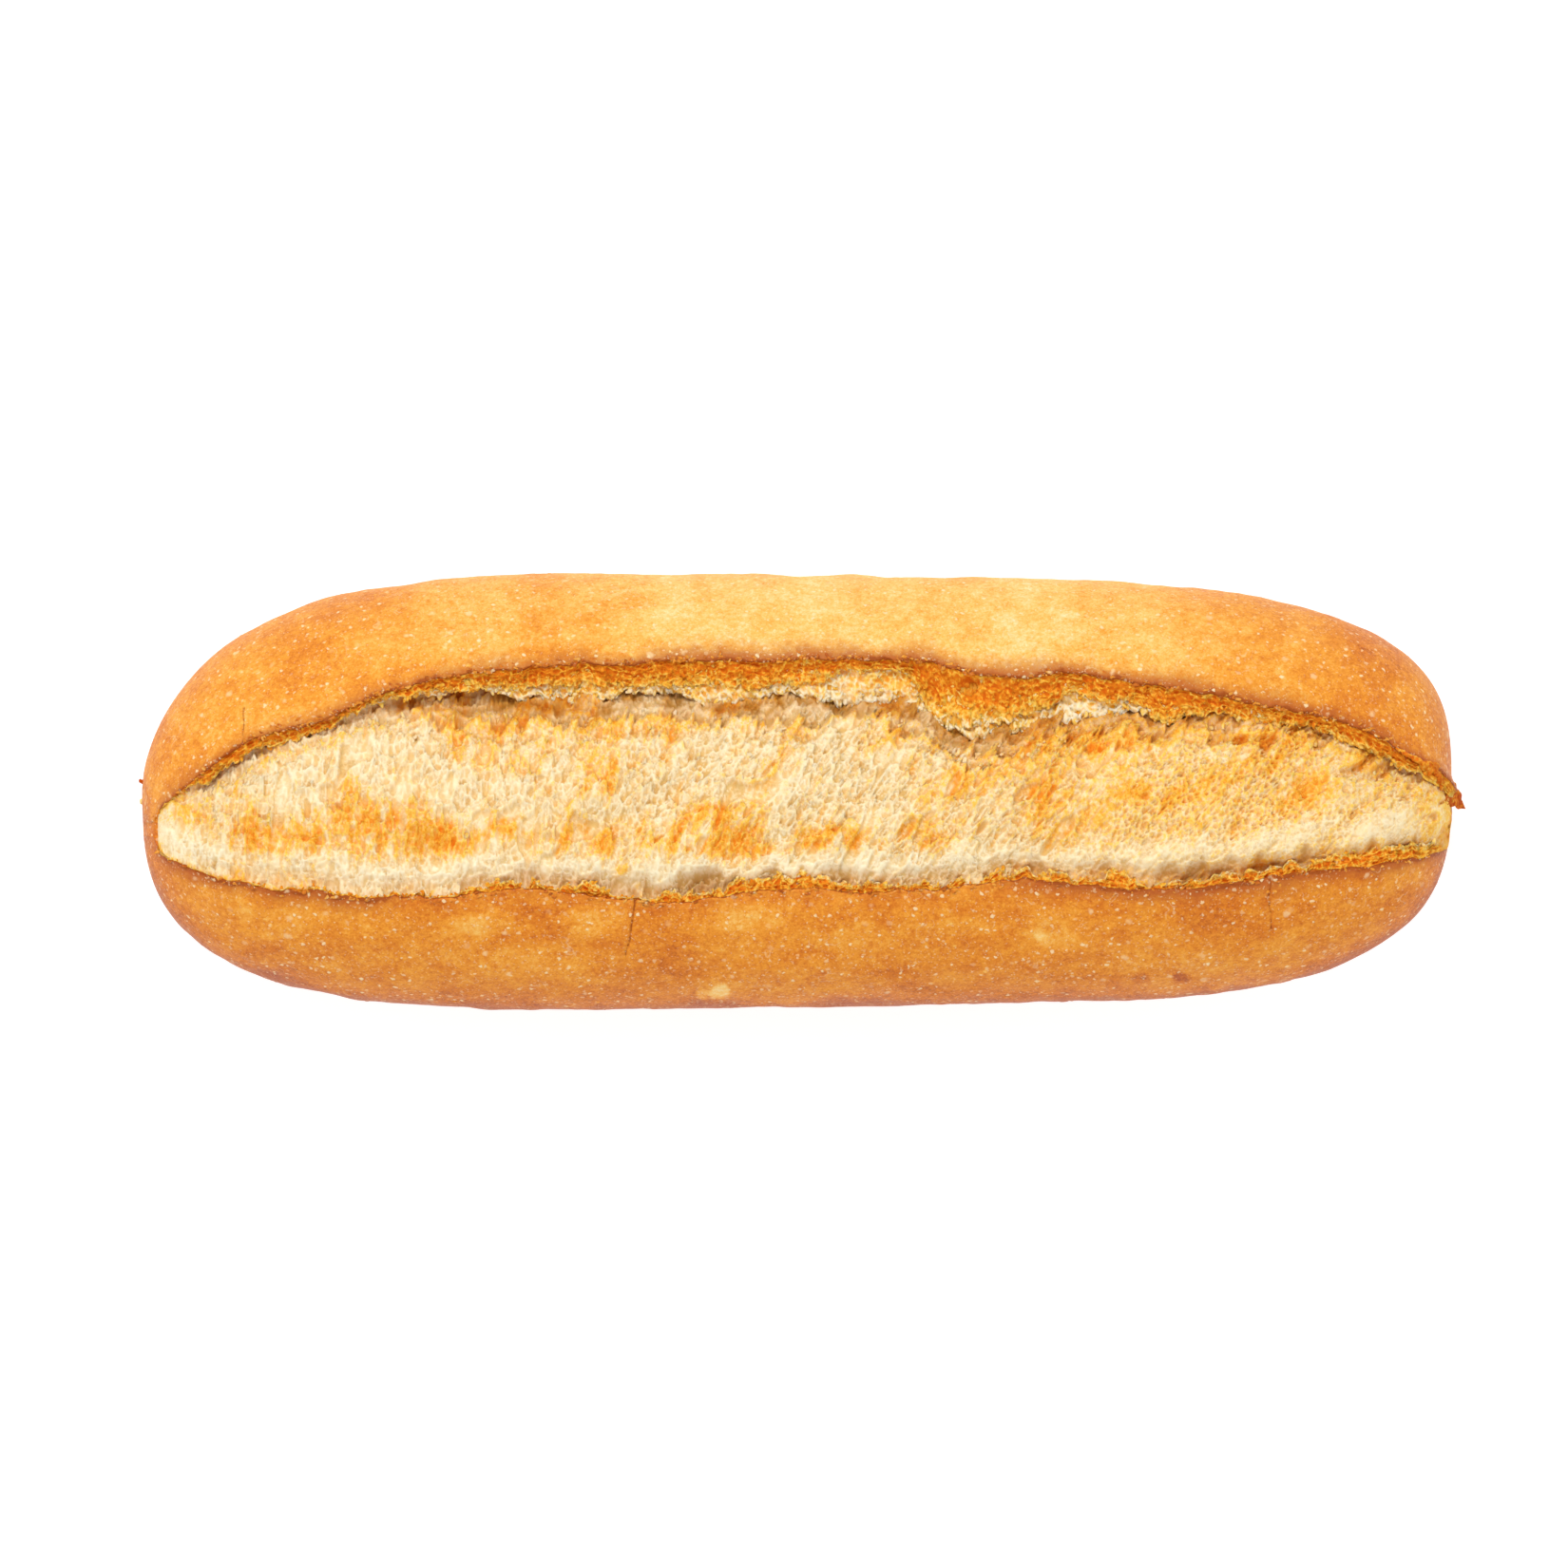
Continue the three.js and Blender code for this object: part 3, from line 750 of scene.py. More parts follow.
def cell_relief(s, y, zone):
    """Height of the torn cells over the crumb's lumps. Zone is 1 where fibres outweigh cells."""
    u, v = s.x - lean_at(s.x) * y, y + 0 * s.x
    wu = u + 0.8 * rough(u / 5, v / 7, 41) + 0.3 * noise(u / 1.3, v / 2.2, 44)
    wv = v + 1.6 * rough(u / 5, v / 6, 45) + 0.5 * noise(u / 1.4, v / 1.8, 48)
    middle, right = smooth(s.x, -55, -10), smooth(s.x, 35, 70)
    nearest, between, pick, up = cells(wu / 1.5, wv / mix(3.6, 2.2, middle), 71)
    long_cells = 0.9 * crest(between, 0.2) * (0.4 + 0.6 * pick) + 0.5 * (pick - 0.5)
    long_cells = long_cells + mix(0.5, 0.25, middle) * up
    nearest, between, pick, up = cells(wu / 2.1, wv / 2.3, 76)
    round_cells = 0.75 * crest(between, 0.24) + 0.55 * (pick - 0.5) + 0.3 * up
    nearest, between, pick, up = cells(wu / 0.85, wv / mix(1.7, 1.05, middle), 81)
    fine_cells = 0.5 * crest(between, 0.24) + 0.45 * (pick - 0.5) + 0.2 * up * (1 - right)
    relief = mix(long_cells, round_cells, 0.8 * right) * (1 - 0.4 * zone) + fine_cells
    skin = rough(u / 3.6, v / 6.5, 51, 2) + 0.1 * smooth(-s.x, 50, 80)
    bare = 0.85 * smooth(skin, 0.3, 0.5)
    relief = relief * (1 - 0.85 * bare) + 0.35 * bell((skin - 0.3) / 0.08) - 0.35 * bare
    pores = right * smooth(noise(u / 9, v / 8, 95), -0.2, 0.5) * bell(nearest / 0.3)
    strings = crest(noise(wu / 1.7, wv / 9, 91), 0.07) * smooth(noise(u / 5, v / 6, 93), -0.2, 0.3)
    strings = strings * mix(0.9, 0.6, middle) * (1 - 0.7 * right) * (1 - 0.4 * bare)
    return relief + strings - 0.7 * pores + 0.75 * zone * (folds(wu, wv) - 0.7) - 0.55


def crumb_height(s, y):
    """The torn crumb's height at y, with the numbers that its colour needs."""
    from_near, from_far = y - s.near_lip, s.far_lip - y
    margin = np.minimum(from_near, from_far)
    slant = s.x - lean_at(s.x) * y

    # The torn fringe, the steps behind it and the fall towards the far lip
    shelf = np.maximum(through(TOASTED_REACH, s.x), through(PALE_REACH, s.x))
    fringe, gap = through(FRINGE_REACH, s.x), through(FAR_GAP, s.x)
    tongues = folds(slant, y)
    teeth = 1.2 * noise(slant / 3.3, 1, 51) + 0.4 * noise(slant / 0.65, 3, 53) + 1.3 - 1.9 * tongues
    more = 1.3 * noise(slant / 4.1, 4, 54) + 1.0 * noise(slant / 1.2, 5, 55)
    wide = smooth(fringe, 2.5, 8)
    past = fringe + wide * teeth - from_far
    step = 1.4 * smooth(past, 0, 0.5) + 1.1 * smooth(fringe - 2.0 - 0.8 * more - from_far, 0, 0.5)
    second = smooth(fringe + 3.8 + more - 1.2 * tongues - from_far, 0, 0.4)
    step = step + 0.9 * second * smooth(noise(s.x / 9, 6, 56), -0.2, 0.2)
    fall = np.clip((fringe - from_far) / np.maximum(fringe - 0.62 * shelf, 1), 0, 1)

    # The hollow along the near lip
    hollow = mix(0.52, 0.72, smooth(s.x, 20, 50)) * through(NEAR_GAP, s.x)
    start = 1.7 + 0.9 * noise(s.x / 5, 1, 57) + 0.8 * noise(s.x / 1.7, 2, 58)
    low = hollow * (0.85 + 0.4 * noise(s.x / 6, 4, 59))
    low = low * np.exp(-(np.maximum(from_near - start, 0) / 2.3) ** 2.6)
    fallen = s.open * (wide * step + gap * fall ** 1.5 + low)

    # Lumps, cells, the fluffy strip low on the left and the middle, and the pillow low on the right
    along, across = (s.x - LEAN * y) / LUMP_SIZE[0], y / LUMP_SIZE[1]
    lumps = LUMP * noise(along, across, SEED["lumps"])
    lumps = lumps + FINE_LUMP * noise(2 * along, 2 * across, SEED["fine"])
    lumps = lumps * s.open * smooth(margin, LUMP_START, LUMP_FULL)
    fluffy = bell((from_near - 4.6) / 2.4) * smooth(-s.x, -100, -60)
    slope = smooth(fringe - from_far, 0.5, 3)
    zone = smooth(fringe + 6 - from_far, 0, 5) * (1 - 0.25 * slope) * wide
    zone = np.maximum(zone, 0.5 * bell((from_near - 8) / 3.5))
    pillow = smooth(s.x, PILLOW["from"], PILLOW["from"] + PILLOW["fade"])
    pillow = pillow * smooth(-s.x, -PILLOW["to"], -PILLOW["to"] + PILLOW["fade"])
    pillow = pillow * np.exp(-np.abs((from_near - PILLOW["middle"]) / PILLOW["width"]) ** 3)
    soft_folds = crest(noise(slant / 3.1, y / 5, 62), 0.1) * smooth(8.5 - from_near, 0, 5)
    hollows = smooth(rough(slant / 3.4, y / 3.2, 61, 2), 0.12, 0.42) * smooth(s.x, 56, 74)
    hollows = hollows * bell((from_far - 6) / 3.4)
    fine = mix(1, 0.7, smooth(s.x, 40, 80)) * mix(1, 0.5, smooth(np.abs(s.x), 107, 116))
    fine = fine * (1 - 0.4 * pillow) * (1 - 0.35 * fluffy) * (1 - 0.15 * slope)
    relief = cell_relief(s, y, zone) * fine + 0.1 * rough(s.x / 0.9, y / 0.9, 81, 2)
    relief = relief + 0.35 * fluffy * rough(s.x / 1.1, y / 0.8, 83, 2)
    relief = relief + pillow * (PILLOW["rise"] - 0.8 * soft_folds) - 1.4 * hollows
    held = smooth(s.open, 0, 0.06) * mix(0.25, 1, smooth(margin, 0, 1.4))
    rise = lumps + held * relief - 1.2 * smooth(-margin, -0.3, 0.7)
    rise = np.where(rise > 0, MOST_RISE * np.tanh(rise / MOST_RISE), rise)
    z = s.dome_at(y) + s.ear_at(y) + rise - fallen - 1.5 * (1 - smooth(s.open, 0, 0.1))

    # Painted shade: deep darkens the fall into the far crevice, the steps behind the fringe, the hollow
    # along the near lip and the low hollows.
    deep = 0.75 * smooth(fall, 0, 0.7) * smooth(gap, 0.3, 2.0) + 0.35 * smooth(past, 0, 0.6) * wide
    deep = deep * (0.75 + 0.9 * rough(s.x / 2.2, y / 2.4, 63)) + 0.24 * low + 0.3 * hollows
    return z, {
        "tip": smooth(past, -3.2, -0.2) * (1 - smooth(past, 0, 0.5)), "deep": np.clip(deep, 0, 1),
        "white": np.maximum(0.65 * fluffy, 0.5 * pillow), "from_near": from_near, "margin": margin,
        "pull": OVERHANG * rise, "relief": rise - fallen,
    }


def blurred(values, spread):
    """The values of a grid, blurred over a few neighbours each way."""
    steps = np.arange(-int(2.5 * spread), int(2.5 * spread) + 1)
    weights = np.exp(-0.5 * (steps / spread) ** 2)
    for axis in (0, 1):
        index = np.clip(np.arange(values.shape[axis])[:, None] + steps, 0, values.shape[axis] - 1)
        picked = np.take(values, index, axis)
        values = np.tensordot(picked, weights / weights.sum(), ([axis + 1], [0]))
    return values


def toast_at(s, y, k, ridge):
    """How toasted the crumb is: the tips of its fringe, a band low down, patches and its right part."""
    slant = s.x - lean_at(s.x) * y
    band = bell((k["from_near"] - 10) / 3.4) * smooth(-s.x, -42, -5)
    band = band * smooth(rough(s.x / 6, y / 5, 96, 2), -0.5, 0.4)
    patch = 0
    for x, mid, long, wide, strength in PATCHES:
        patch = patch + strength * bell(np.hypot((s.x - x) / long, (y - mid) / wide))
    stains = smooth(rough(slant / 9, y / 8, 97), 0.0, 0.7)
    broken = 0.6 + 1.1 * np.clip(rough(slant / 1.7, y / 4.4, 99), -0.45, 0.6)
    streaks = smooth(rough(slant / 1.5, y / 9, 102), 0.05, 0.6)
    ends = bell((s.x - CRUMB_ENDS[0]) / 3.0) + 1.4 * bell((s.x - CRUMB_ENDS[1]) / 2.2) * broken
    ends = ends + bell(k["margin"] / 0.8) * smooth(np.abs(s.x), 88, 100)
    toast = 0.14 + (0.46 * band + PATCH_TOAST * patch + 0.36 * stains) * broken
    toast = toast + 0.17 * smooth(s.x, 10, 60) + 0.35 * ends + 0.12 * streaks
    toast = toast * (0.9 + 0.7 * ridge) + 0.18 * k["tip"] * (0.4 + ridge)
    return MOST_TOAST * np.tanh(np.maximum(toast, 0) * (1 - 0.65 * k["white"]) / MOST_TOAST)


def backed(values, under, rows):
    """A tint over a form's upper side, with one value for its underside."""
    return np.hstack([values, np.full((len(values), rows), float(under))])


def make_crumb():
    """The torn crumb as one form, made as two pieces that overlap by a few sunk columns."""
    span = (np.array(CRUMB_ENDS) - CENTRE_X) / HALF_LENGTH
    s = Sections(np.linspace(*span, CRUMB_COLUMNS))
    tuck = CRUMB_TUCK * s.open
    y = mix(s.near_lip - tuck, s.far_lip + tuck, np.linspace(0, 1, CRUMB_ROWS)[None])
    z, numbers = crumb_height(s, y)
    relief = numbers["relief"]
    close, wide = blurred(relief, 2.2) - relief, blurred(relief, 6) - relief
    along = np.gradient(z, axis=0) / np.gradient(s.x, axis=0)
    slope = np.hypot(along, np.gradient(z, axis=1) / np.gradient(y, axis=1))
    # Painted shade: darker in the relief's pits, found against its blurred copy, a little less on the left,
    # and on steep slopes away from the ends.
    pit_shade_and_scorch = 0.65 * smooth(close, -0.12, 0.18) + 0.5 * smooth(wide, 0.0, 0.9)
    pit_shade_and_scorch = pit_shade_and_scorch * mix(0.85, 1, smooth(s.x, -70, -20))
    pit_shade_and_scorch = pit_shade_and_scorch + 0.3 * smooth(slope, 0.8, 2.4) * smooth(-np.abs(s.x), -112, -104)
    toast = toast_at(s, y, numbers, smooth(-close, -0.02, 0.26))
    pull = numbers["pull"] * smooth(np.minimum(y - y[:, :1], y[:, -1:] - y), 0, 2)
    jagged = (0.1 + 0.3 * rough(y / 1.3, s.x / 4, 103)) * smooth(s.x, 114.5, 117)
    top = points_at(s.x + lean_at(s.x) * pull + jagged, y + pull, z)
    under_y = mix(y[:, :1], y[:, -1:], np.linspace(1, 0, UNDER_ROWS)[None])
    under = points_at(s.x, under_y, s.dome_at(under_y) - CRUMB_DEPTH * s.open - 2)
    rings = np.hstack([top, under])[:, ::-1]
    # The crumb's hidden underside gets full painted shade.
    tints = {"toast": (toast, 0.2), "pit_shade_and_scorch": (np.clip(pit_shade_and_scorch, 0, 1), 1), "deep": (numbers["deep"], 1)}
    overlap = len(SEAM_SINK)
    for name, part, seam, sink in (
        ("crumb_left", slice(0, CRUMB_SEAM + overlap), slice(-overlap, None), SEAM_SINK),
        ("crumb_right", slice(CRUMB_SEAM - overlap, None), slice(0, overlap), SEAM_SINK[::-1]),
    ):
        piece = rings[part].copy()
        piece[seam, :, 2] -= sink[:, None]
        part_tints = {tint: backed(*value, UNDER_ROWS)[None, part, ::-1] for tint, value in tints.items()}
        tubes(name, piece[None], part_tints, CRUMB)


# The torn layers. A side of 1 is the far lip's. The drop is at the lip and the fall on the way in from it,
# the toast goes from the lip to the edge, and a cell's size is along and across.
LAYERS = {
    "pale_layer": {
        "side": 1, "reach": PALE_REACH, "seed": 101, "drop": 1.7, "fall": 2.4, "ragged": 1.3,
        "thick": 1.6, "toast": (0.6, 0.36), "bumps": 1.0, "cell": (1.3, 1.1),
    },
    "toasted_layer": {
        "side": 1, "reach": TOASTED_REACH, "seed": 131, "drop": 0.4, "fall": 3.2, "ragged": 1.1,
        "thick": 1.4, "toast": (1.05, 0.68), "bumps": 1.0, "cell": (1.7, 0.9),
    },
    "lower_rim": {
        "side": -1, "reach": RIM_REACH, "seed": 161, "drop": 0.3, "fall": 1.8, "ragged": 1.5,
        "thick": 1.2, "toast": (0.95, 0.48), "bumps": 1.2, "cell": (1.4, 0.9),
    },
}
BURIED = 1.2  # how far the layers start back from their lips


def layer_at(layer, s, inward):
    """A torn layer's y, height and slow waves, at a distance in from its lip."""
    side, seed = layer["side"], layer["seed"]
    lip = s.far_lip if side > 0 else s.near_lip
    y = lip - side * inward * mix(0.4, 1.0, s.open)
    wave = rough(s.x / 3.2, inward / 1.8, seed + 3, 2)
    warp = 0.4 * noise(s.x / 1.3, inward / 1.3, seed + 5)
    long, wide = layer["cell"]
    nearest, between, pick, up = cells(s.x / long + warp, inward / wide + warp, seed + 7)
    relief = 0.8 * crest(between, 0.22) + 0.6 * (pick - 0.5)
    relief = relief + 0.4 * rough(s.x / 0.9, inward / 0.55, seed + 11, 2) - 0.3
    from_bubble = np.hypot(s.x - BUBBLE["x"], y - BUBBLE["y"]) / BUBBLE["radius"]
    bubble = smooth(1.2 - from_bubble, 0, 0.6) * (side > 0)
    fall = layer["fall"] * mix(1, 0.5, smooth(np.abs(s.x), 88, 106))
    sink = layer["drop"] + fall * (1 - np.exp(-np.maximum(inward, 0) / 3.4))
    sink = sink - 0.7 * wave * smooth(inward, 0, 1.5) + BUBBLE["depth"] * bubble / np.maximum(s.open, 0.5)
    foot = np.where(inward < 0, s.crust_at(y) - 0.5 * s.open, s.crust_at(lip))
    shown = layer["bumps"] * (1 - 0.9 * bubble) * smooth(inward, -0.2, 0.7) * smooth(s.open, 0, 0.3)
    return y, foot - s.open * sink + relief * shown - 0.7 * (1 - smooth(s.open, 0, 0.08)), wave


def torn_layer(name):
    """A layer of torn crumb that hangs in from a lip: a ragged shelf with its own underside."""
    layer = LAYERS[name]
    side, toast = layer["side"], layer["toast"]
    s = Sections(even_stations(780, 16, 0.95), FINE_TEAR)
    edge = reach_at(layer["reach"], s.x, layer["seed"], layer["ragged"])
    inward = mix(-BURIED, edge, np.linspace(0, 1, 28)[None])
    y, z, wave = layer_at(layer, s, inward)
    close = blurred(z, 2) - z
    back = np.linspace(1, 0, 7)[None][:, 1:]
    under_y = mix(y[:, :1], y[:, -1:], back) + side * 0.25 * back
    under_z = mix(z[:, :1] - layer["thick"] * s.open, z[:, -1:], back) - 0.35 * s.open
    rings = np.hstack([points_at(s.x, y, z), points_at(s.x, under_y, under_z)])
    rings[..., 0] += s.tip_at(rings[..., 1], rings[..., 2])
    tone = mix(*toast, smooth(inward / edge, 0.35, 1.0)) + 0.18 * wave - 0.16 * smooth(-close, 0, 0.25)
    if name == "toasted_layer":
        tone = tone - 0.22 * smooth(inward, 5, 9)
    if name == "pale_layer":
        for x, long in BLEACHED:
            tone = tone - 0.16 * bell((s.x - x) / long)
    # Painted shade in the layer's cell hollows and over its underside.
    pit_shade_and_scorch = 0.6 * smooth(close, -0.05, 0.25)
    tints = {"toast": (tone, max(toast[1], 0.6)), "pit_shade_and_scorch": (pit_shade_and_scorch, 0.3), "deep": (0 * pit_shade_and_scorch, 0.3)}
    rows = back.shape[1]
    tints = {tint: backed(*value, rows)[None, :, ::side] for tint, value in tints.items()}
    tubes(name, rings[None, :, ::side], tints, CRUMB)


# ---------------------------------------------------------------- shreds

# A faint painted shade over every shred, and no crevice shade.
PLAIN = {"pit_shade_and_scorch": 0.05, "deep": 0.0}


def shreds(name, parts, seed, material, tint="toast", extra=PLAIN, fineness=6):
    """Small torn tongues: each grows from its root along its heading, lifts, and thins out to a ragged tip.
    The parts are their roots, headings, lengths, widths, thicknesses, lifts and tones."""
    root, heading, length, width, thick, lift, tone = parts
    step = np.linspace(0, 1, fineness)[None, :]
    number = np.arange(len(root))[:, None]
    heading = unit(heading)
    sideways = unit(np.cross([0.0, 0.0, 1.0], heading))
    upward = np.cross(heading, sideways)
    wiggle = 0.22 * noise(step * 2.3, number * 1.7, seed) * step
    ragged = 1 + 0.5 * noise(step * 4.1, number * 2.3, seed + 1)
    half = 0.5 * width[:, None] * (1 - step ** 3) ** 0.6 * ragged + 0.03
    deep = 0.5 * thick[:, None] * (1 - 0.55 * step)
    rise = lift[:, None] * step ** 1.4
    spine = root[:, None] + heading[:, None] * (length[:, None] * step)[..., None]
    spine = spine + sideways[:, None] * (length[:, None] * wiggle)[..., None]
    spine = (spine + upward[:, None] * rise[..., None])[:, :, None]
    angle = np.linspace(0, 2 * np.pi, fineness, endpoint=False)[None, None]
    aside = np.cos(angle) * half[..., None]
    cup = 0.35 * aside ** 2 / np.maximum(width, 0.1)[:, None, None]
    above = np.sin(angle) * deep[..., None] - cup
    rings = spine + sideways[:, None, None] * aside[..., None] + upward[:, None, None] * above[..., None]
    tubes(name, rings, {tint: tone[:, None, None] + 0.12 * step[..., None], **extra}, material)


def turned(angle, tilt):
    """Headings turned from +Y towards +X by an angle, and tilted up."""
    return np.stack([np.sin(angle) * np.cos(tilt), np.cos(angle) * np.cos(tilt), np.sin(tilt)], -1)


def make_crumb_flakes():
    """Scales of crumb over the torn surface and tongues along its fringe, most pointing to the far lip."""
    random = np.random.default_rng(301)
    count = 900
    s = Sections(random.uniform(-0.93, 0.93, count))
    reach = through(FRINGE_REACH, s.x)
    y = mix(s.near_lip + 2.5, s.far_lip - reach, random.uniform(0.1, 1.0, (count, 1)))
    fringe = np.arange(count)[:, None] < 300
    y = np.where(fringe, s.far_lip - reach - random.uniform(-1.0, 3.4, (count, 1)), y)
    z, numbers = crumb_height(s, y)
    keep = ((s.far_lip - s.near_lip) > 6)[:, 0] & (z[:, 0] > 20)
    angle = np.arctan(lean_at(s.x)[:, 0]) + random.normal(0, 0.45, count)
    tilt = random.uniform(-0.25, 0.25, count)
    size = random.uniform(0.55, 1.0, count) ** 2 * np.where(fringe[:, 0], 1.4, 1.1)
    width = size * random.uniform(0.45, 0.9, count)
    thick, lift = random.uniform(0.12, 0.26, count), random.uniform(0.0, 0.3, count)
    toast = 0.85 * toast_at(s, y, numbers, np.full_like(y, 0.4))[:, 0]
    root = np.hstack([s.x, y + numbers["pull"], z - 0.3])
    parts = (root, turned(angle, tilt), size, width, thick, lift, toast)
    shreds("crumb_flakes", [part[keep] for part in parts], 311, CRUMB)


def make_lip_shreds():
    """Ragged bits along the torn layers' edges."""
    random = np.random.default_rng(331)
    rows = []
    for name, count, spread, most in (
        ("pale_layer", 420, 0.8, 1.5), ("toasted_layer", 520, 1.2, 1.1), ("lower_rim", 420, 0.9, 1.1),
    ):
        layer = LAYERS[name]
        s = Sections(random.uniform(-0.975, 0.985, count), FINE_TEAR)
        edge = reach_at(layer["reach"], s.x, layer["seed"], layer["ragged"])
        inward = edge * random.uniform(0.55, 1.0, (count, 1)) - 0.3
        y, z, wave = layer_at(layer, s, inward)
        angle = random.normal(0, spread, count) + (np.pi if layer["side"] > 0 else 0)
        heading = turned(angle, random.uniform(-0.4, 0.25, count))
        length = random.uniform(0.35, 1.0, count) * most * mix(0.5, 1.0, s.open[:, 0])
        width = length * random.uniform(0.4, 0.9, count)
        tone = mix(*layer["toast"], smooth(inward / edge, 0.35, 1.0)[:, 0])
        tone = tone + random.normal(-0.05, 0.12, count)
        rows.append((np.hstack([s.x, y, z - 0.15]), heading, length, width, tone))
    root, heading, length, width, tone = (np.concatenate(part) for part in zip(*rows))
    thick = random.uniform(0.16, 0.32, len(root))
    lift = random.uniform(-0.1, 0.3, len(root))
    shreds("lip_shreds", (root, heading, length, width, thick, lift, np.clip(tone, 0, 1)), 341, CRUMB)


def make_crest_flakes():
    """Brittle flakes of crust along the crests of both lips."""
    random = np.random.default_rng(361)
    count = 800
    s = Sections(random.uniform(-0.975, 0.985, count), FINE_TEAR)
    far = random.random((count, 1)) < 0.7
    back = random.gamma(1.3, 0.22, (count, 1)) - 0.15
    y = np.where(far, s.far_lip + back, s.near_lip - back)
    z = s.crust_at(np.where(far, np.maximum(y, s.far_lip), np.minimum(y, s.near_lip)))
    slope = (s.crust_at(y + 0.1) - s.crust_at(y - 0.1))[:, 0] / 0.2
    angle = np.pi / 2 + random.normal(0, 0.45, count) + np.pi * (random.random(count) < 0.5)
    tilt = np.arctan(slope) * np.cos(angle) + random.uniform(0.0, 0.22, count)
    length = random.uniform(0.4, 1.0, count) ** 1.5 * 1.3
    width = length * random.uniform(0.3, 0.6, count)
    root = np.hstack([s.x + s.tip_at(y, z), y, z - 0.05 - 0.8 * (s.open < 0.05)])
    dark = np.exp(-np.maximum(back[:, 0], 0) / 0.5) * random.random(count)
    bake = random.uniform(0.35, 0.85, count)
    thick, lift = random.uniform(0.08, 0.16, count), random.uniform(0, 0.12, count)
    parts = (root, turned(angle, tilt), length, width, thick, lift, bake)
    shreds("crest_flakes", parts, 371, CRUST, "bake", {"band": 0.3, "edge": 0.7 * dark[:, None, None]})


# The torn flake that points out at the right end: its middle line and its half widths, at each x
FLAKE = {
    "line": [(106.5, 7.8), (111.0, 5.4), (114.7, 3.6), (117.4, -0.3), (120.0, -3.2)],
    "outer": [(106.5, 0.2), (112.0, 0.7), (117.4, 1.4), (118.8, 0.8), (120.0, 0.05)],
    "inner": [(106.5, 0.2), (112.0, 1.0), (116.0, 1.9), (118.4, 1.8), (120.0, 0.05)],
    "thick": 0.9, "lifted": 0.25, "edge": 116.8, "slope": 1.9,
}


def make_end_flake():
    """The scorched flake of the far lip that points out past the right end."""
    x = np.linspace(FLAKE["line"][0][0], FLAKE["line"][-1][0], 90)[:, None]
    line = through(FLAKE["line"], x)
    slope = np.gradient(line[:, 0], x[:, 0])[:, None]
    angle = np.linspace(0, 2 * np.pi, 28, endpoint=False)[None]
    outward = np.cos(angle) > 0
    half = np.where(outward, through(FLAKE["outer"], x), through(FLAKE["inner"], x))
    jagged = 1 + 0.3 * noise(x / 0.7, 9 * outward, 381) + 0.3 * noise(x / 0.3, 9 * outward, 382)
    aside = half * jagged * np.cos(angle) / np.hypot(1, slope)
    x, y = x - slope * aside, line + aside
    s = Sections((np.minimum(x, FLAKE["edge"]) - CENTRE_X).ravel() / HALF_LENGTH)
    level = s.crust_at(y.reshape(-1, 1)).reshape(y.shape)
    level = level - FLAKE["slope"] * np.maximum(x - FLAKE["edge"], 0)
    nearest, between, pick, up = cells(x / 0.9, y / 0.9, 383)
    crumbs = 0.5 * crest(between, 0.25) + 0.4 * (pick - 0.5) + 0.3 * rough(x / 0.6, y / 0.6, 385, 2)
    z = level + FLAKE["lifted"] + 0.5 * FLAKE["thick"] * np.sin(angle) + crumbs * (np.sin(angle) > 0)
    scorch = smooth(x, 111, 119) * (0.75 + 0.9 * rough(x / 0.9, y / 0.9, 387))
    # Painted shade on its underside and in the low parts of its crumbly top; the deep tint carries its
    # scorch.
    tints = {"toast": 0.8 + 0.25 * scorch + 0.5 * (pick - 0.5), "pit_shade_and_scorch": 0.9 - 1.6 * crumbs, "deep": scorch}
    tints = {tint: np.clip(values, 0, 1)[None] for tint, values in tints.items()}
    tubes("end_flake", points_at(x, y, z)[None], tints, CRUMB)


# Each bit's root, tip, width, thickness, how toasted it is and how scorched
END_BITS = [
    ((-119.2, 1.8, 22.0), (-120.7, 1.8, 22.2), 1.5, 1.4, 0.8, 1.0),
    ((-119.4, -1.6, 22.0), (-120.4, -2.3, 22.3), 1.6, 0.8, 0.4, 0.0),
]


def make_end_bits():
    """The two bits that stand out at the left end."""
    root, tip = np.array([bit[0] for bit in END_BITS]), np.array([bit[1] for bit in END_BITS])
    width, thick, tone, scorched = np.array([bit[2:] for bit in END_BITS]).T
    parts = (root, tip - root, np.linalg.norm(tip - root, axis=1), width, thick, 0 * width, tone)
    dark = scorched[:, None, None]
    shreds("end_bits", parts, 381, CRUMB, extra={"pit_shade_and_scorch": dark, "deep": dark}, fineness=12)


# ---------------------------------------------------------------- studio

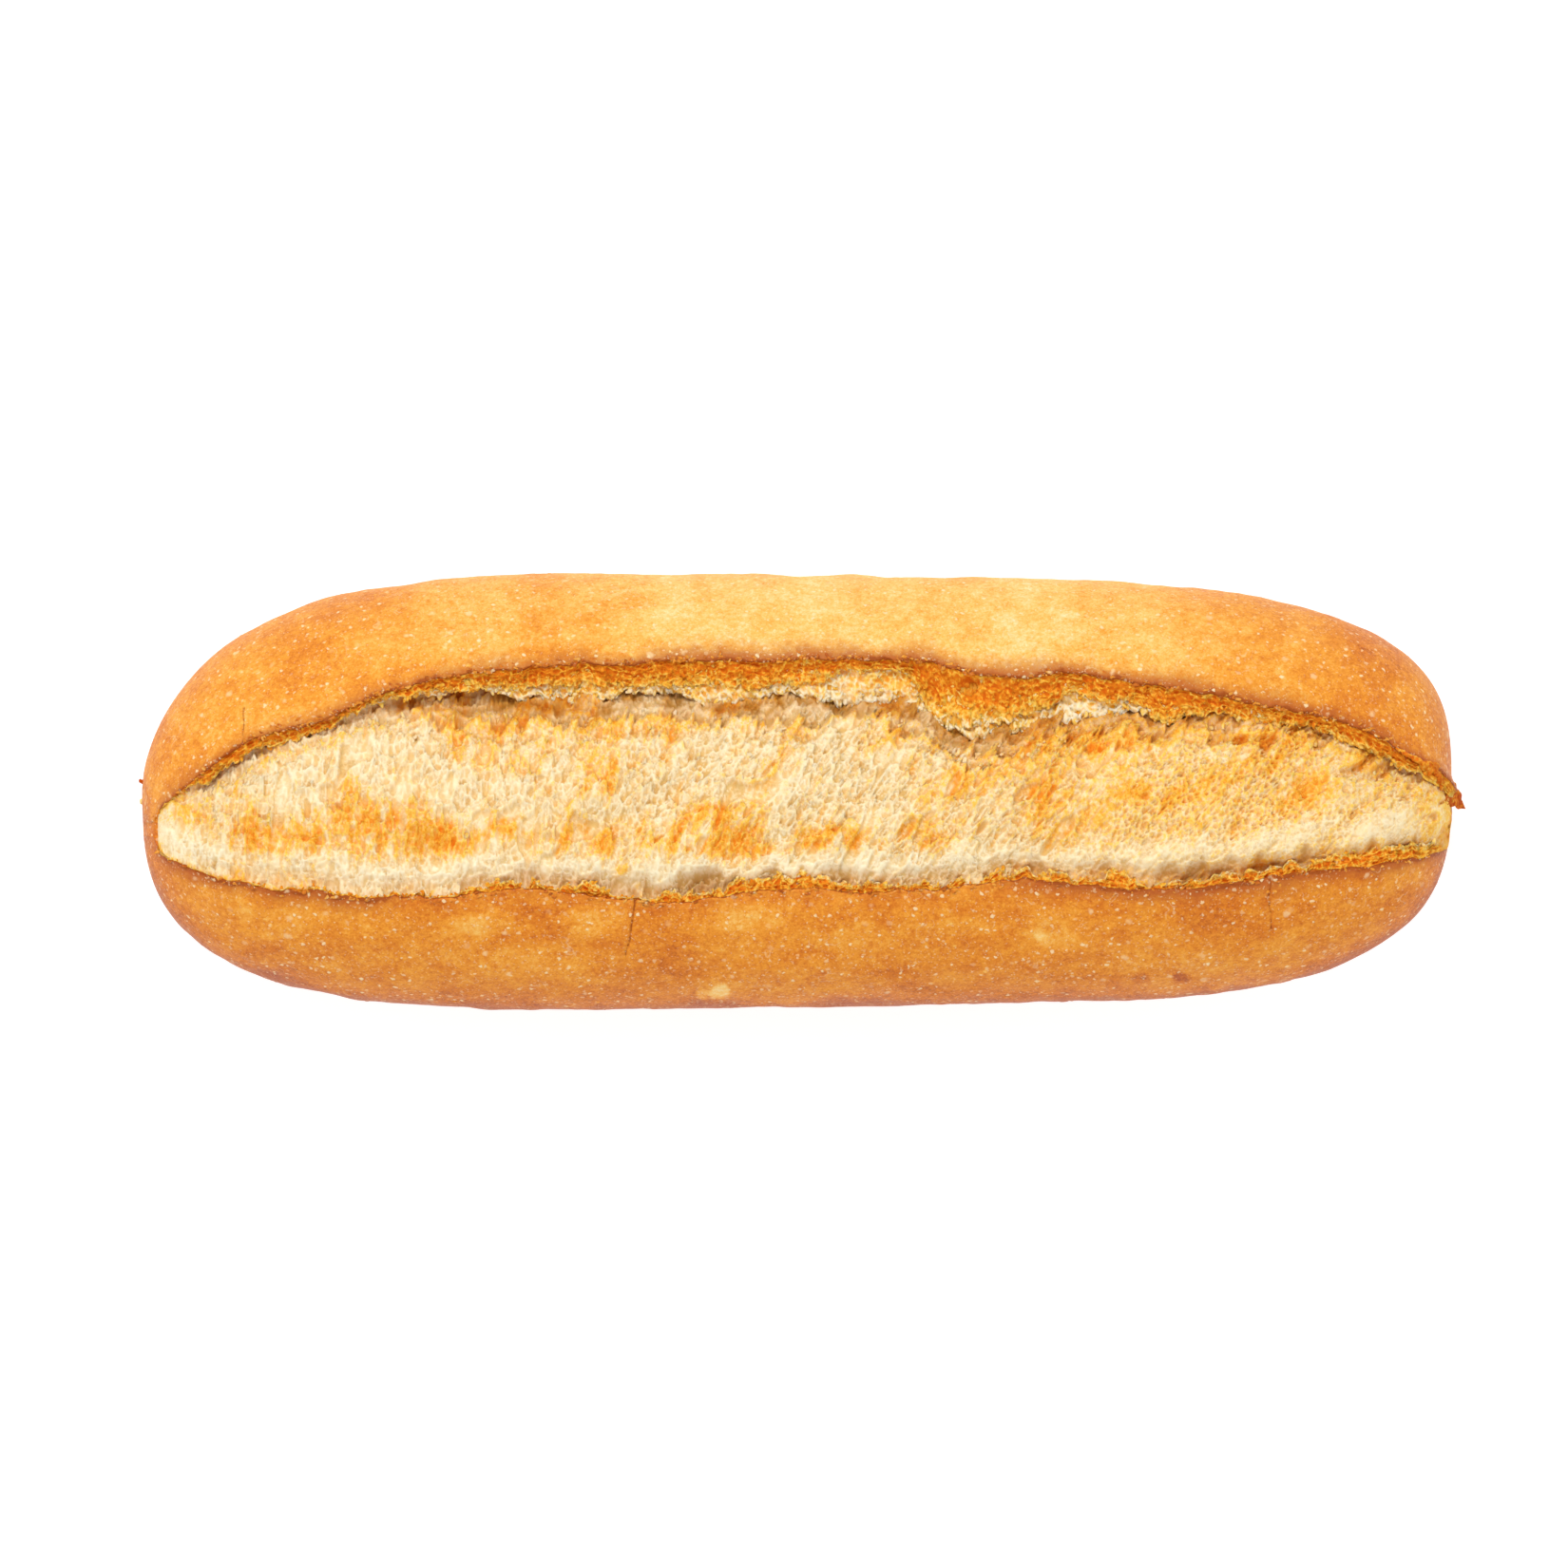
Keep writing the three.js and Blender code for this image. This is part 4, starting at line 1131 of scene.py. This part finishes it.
# The soft lights, as name, place, size and power, and what they point at
SOFTBOXES = [
    ("key", (-0.25, 0.75, 1.2), (0.6, 0.45), 10.6), ("fill", (0.1, -0.7, 1.4), (0.9, 0.7), 5.7),
    ("left", (-1.2, 0, 0.4), (0.8, 0.5), 1.6), ("right", (1.2, 0, 0.4), (0.8, 0.5), 1.6),
]
LIT = (0, 0, 0.03)


def softbox(name, place, size, watts):
    light = bpy.data.lights.new(name, "AREA")
    light.shape = "RECTANGLE"
    light.size, light.size_y = size
    light.energy = watts
    thing = bpy.data.objects.new(name, light)
    thing.location = place
    thing.rotation_euler = (Vector(LIT) - thing.location).to_track_quat("-Z", "Y").to_euler()
    bpy.context.scene.collection.objects.link(thing)


def make_studio():
    bpy.ops.mesh.primitive_plane_add(size=6, location=(0, 0, 0))
    floor = bpy.context.object
    floor.name = "floor"
    n = Nodes("floor")
    n.fill({
        "Base Color": (0.6, 0.6, 0.6, 1), "Roughness": 0.9,
        "Emission Color": (1, 1, 1, 1), "Emission Strength": 0.66,
    })
    floor.data.materials.append(n.material)
    world = bpy.data.worlds.new("studio")
    world.use_nodes = True
    sky = world.node_tree.nodes["Background"].inputs
    sky["Color"].default_value = (1, 1, 1, 1)
    sky["Strength"].default_value = 0.5
    bpy.context.scene.world = world
    for name, place, size, watts in SOFTBOXES:
        softbox(name, place, size, watts)


def make_camera():
    """Straight above the loaf, as the photograph was taken."""
    width, distance, level = 0.2847, 2.5, WIDEST_Z * MM
    camera = bpy.data.cameras.new("camera")
    camera.sensor_width = 36
    camera.lens = camera.sensor_width * distance / width
    thing = bpy.data.objects.new("camera", camera)
    thing.location = (-0.00354, 0.00129, level + distance)
    bpy.context.scene.collection.objects.link(thing)
    bpy.context.scene.camera = thing


CRUST, CRUMB = crust_material(), crumb_material()
make_crust()
make_blisters()
make_crumb()
for layer_name in LAYERS:
    torn_layer(layer_name)
make_crumb_flakes()
make_lip_shreds()
make_crest_flakes()
make_end_flake()
make_end_bits()
make_studio()
make_camera()
bpy.context.scene.view_settings.view_transform = "Standard"
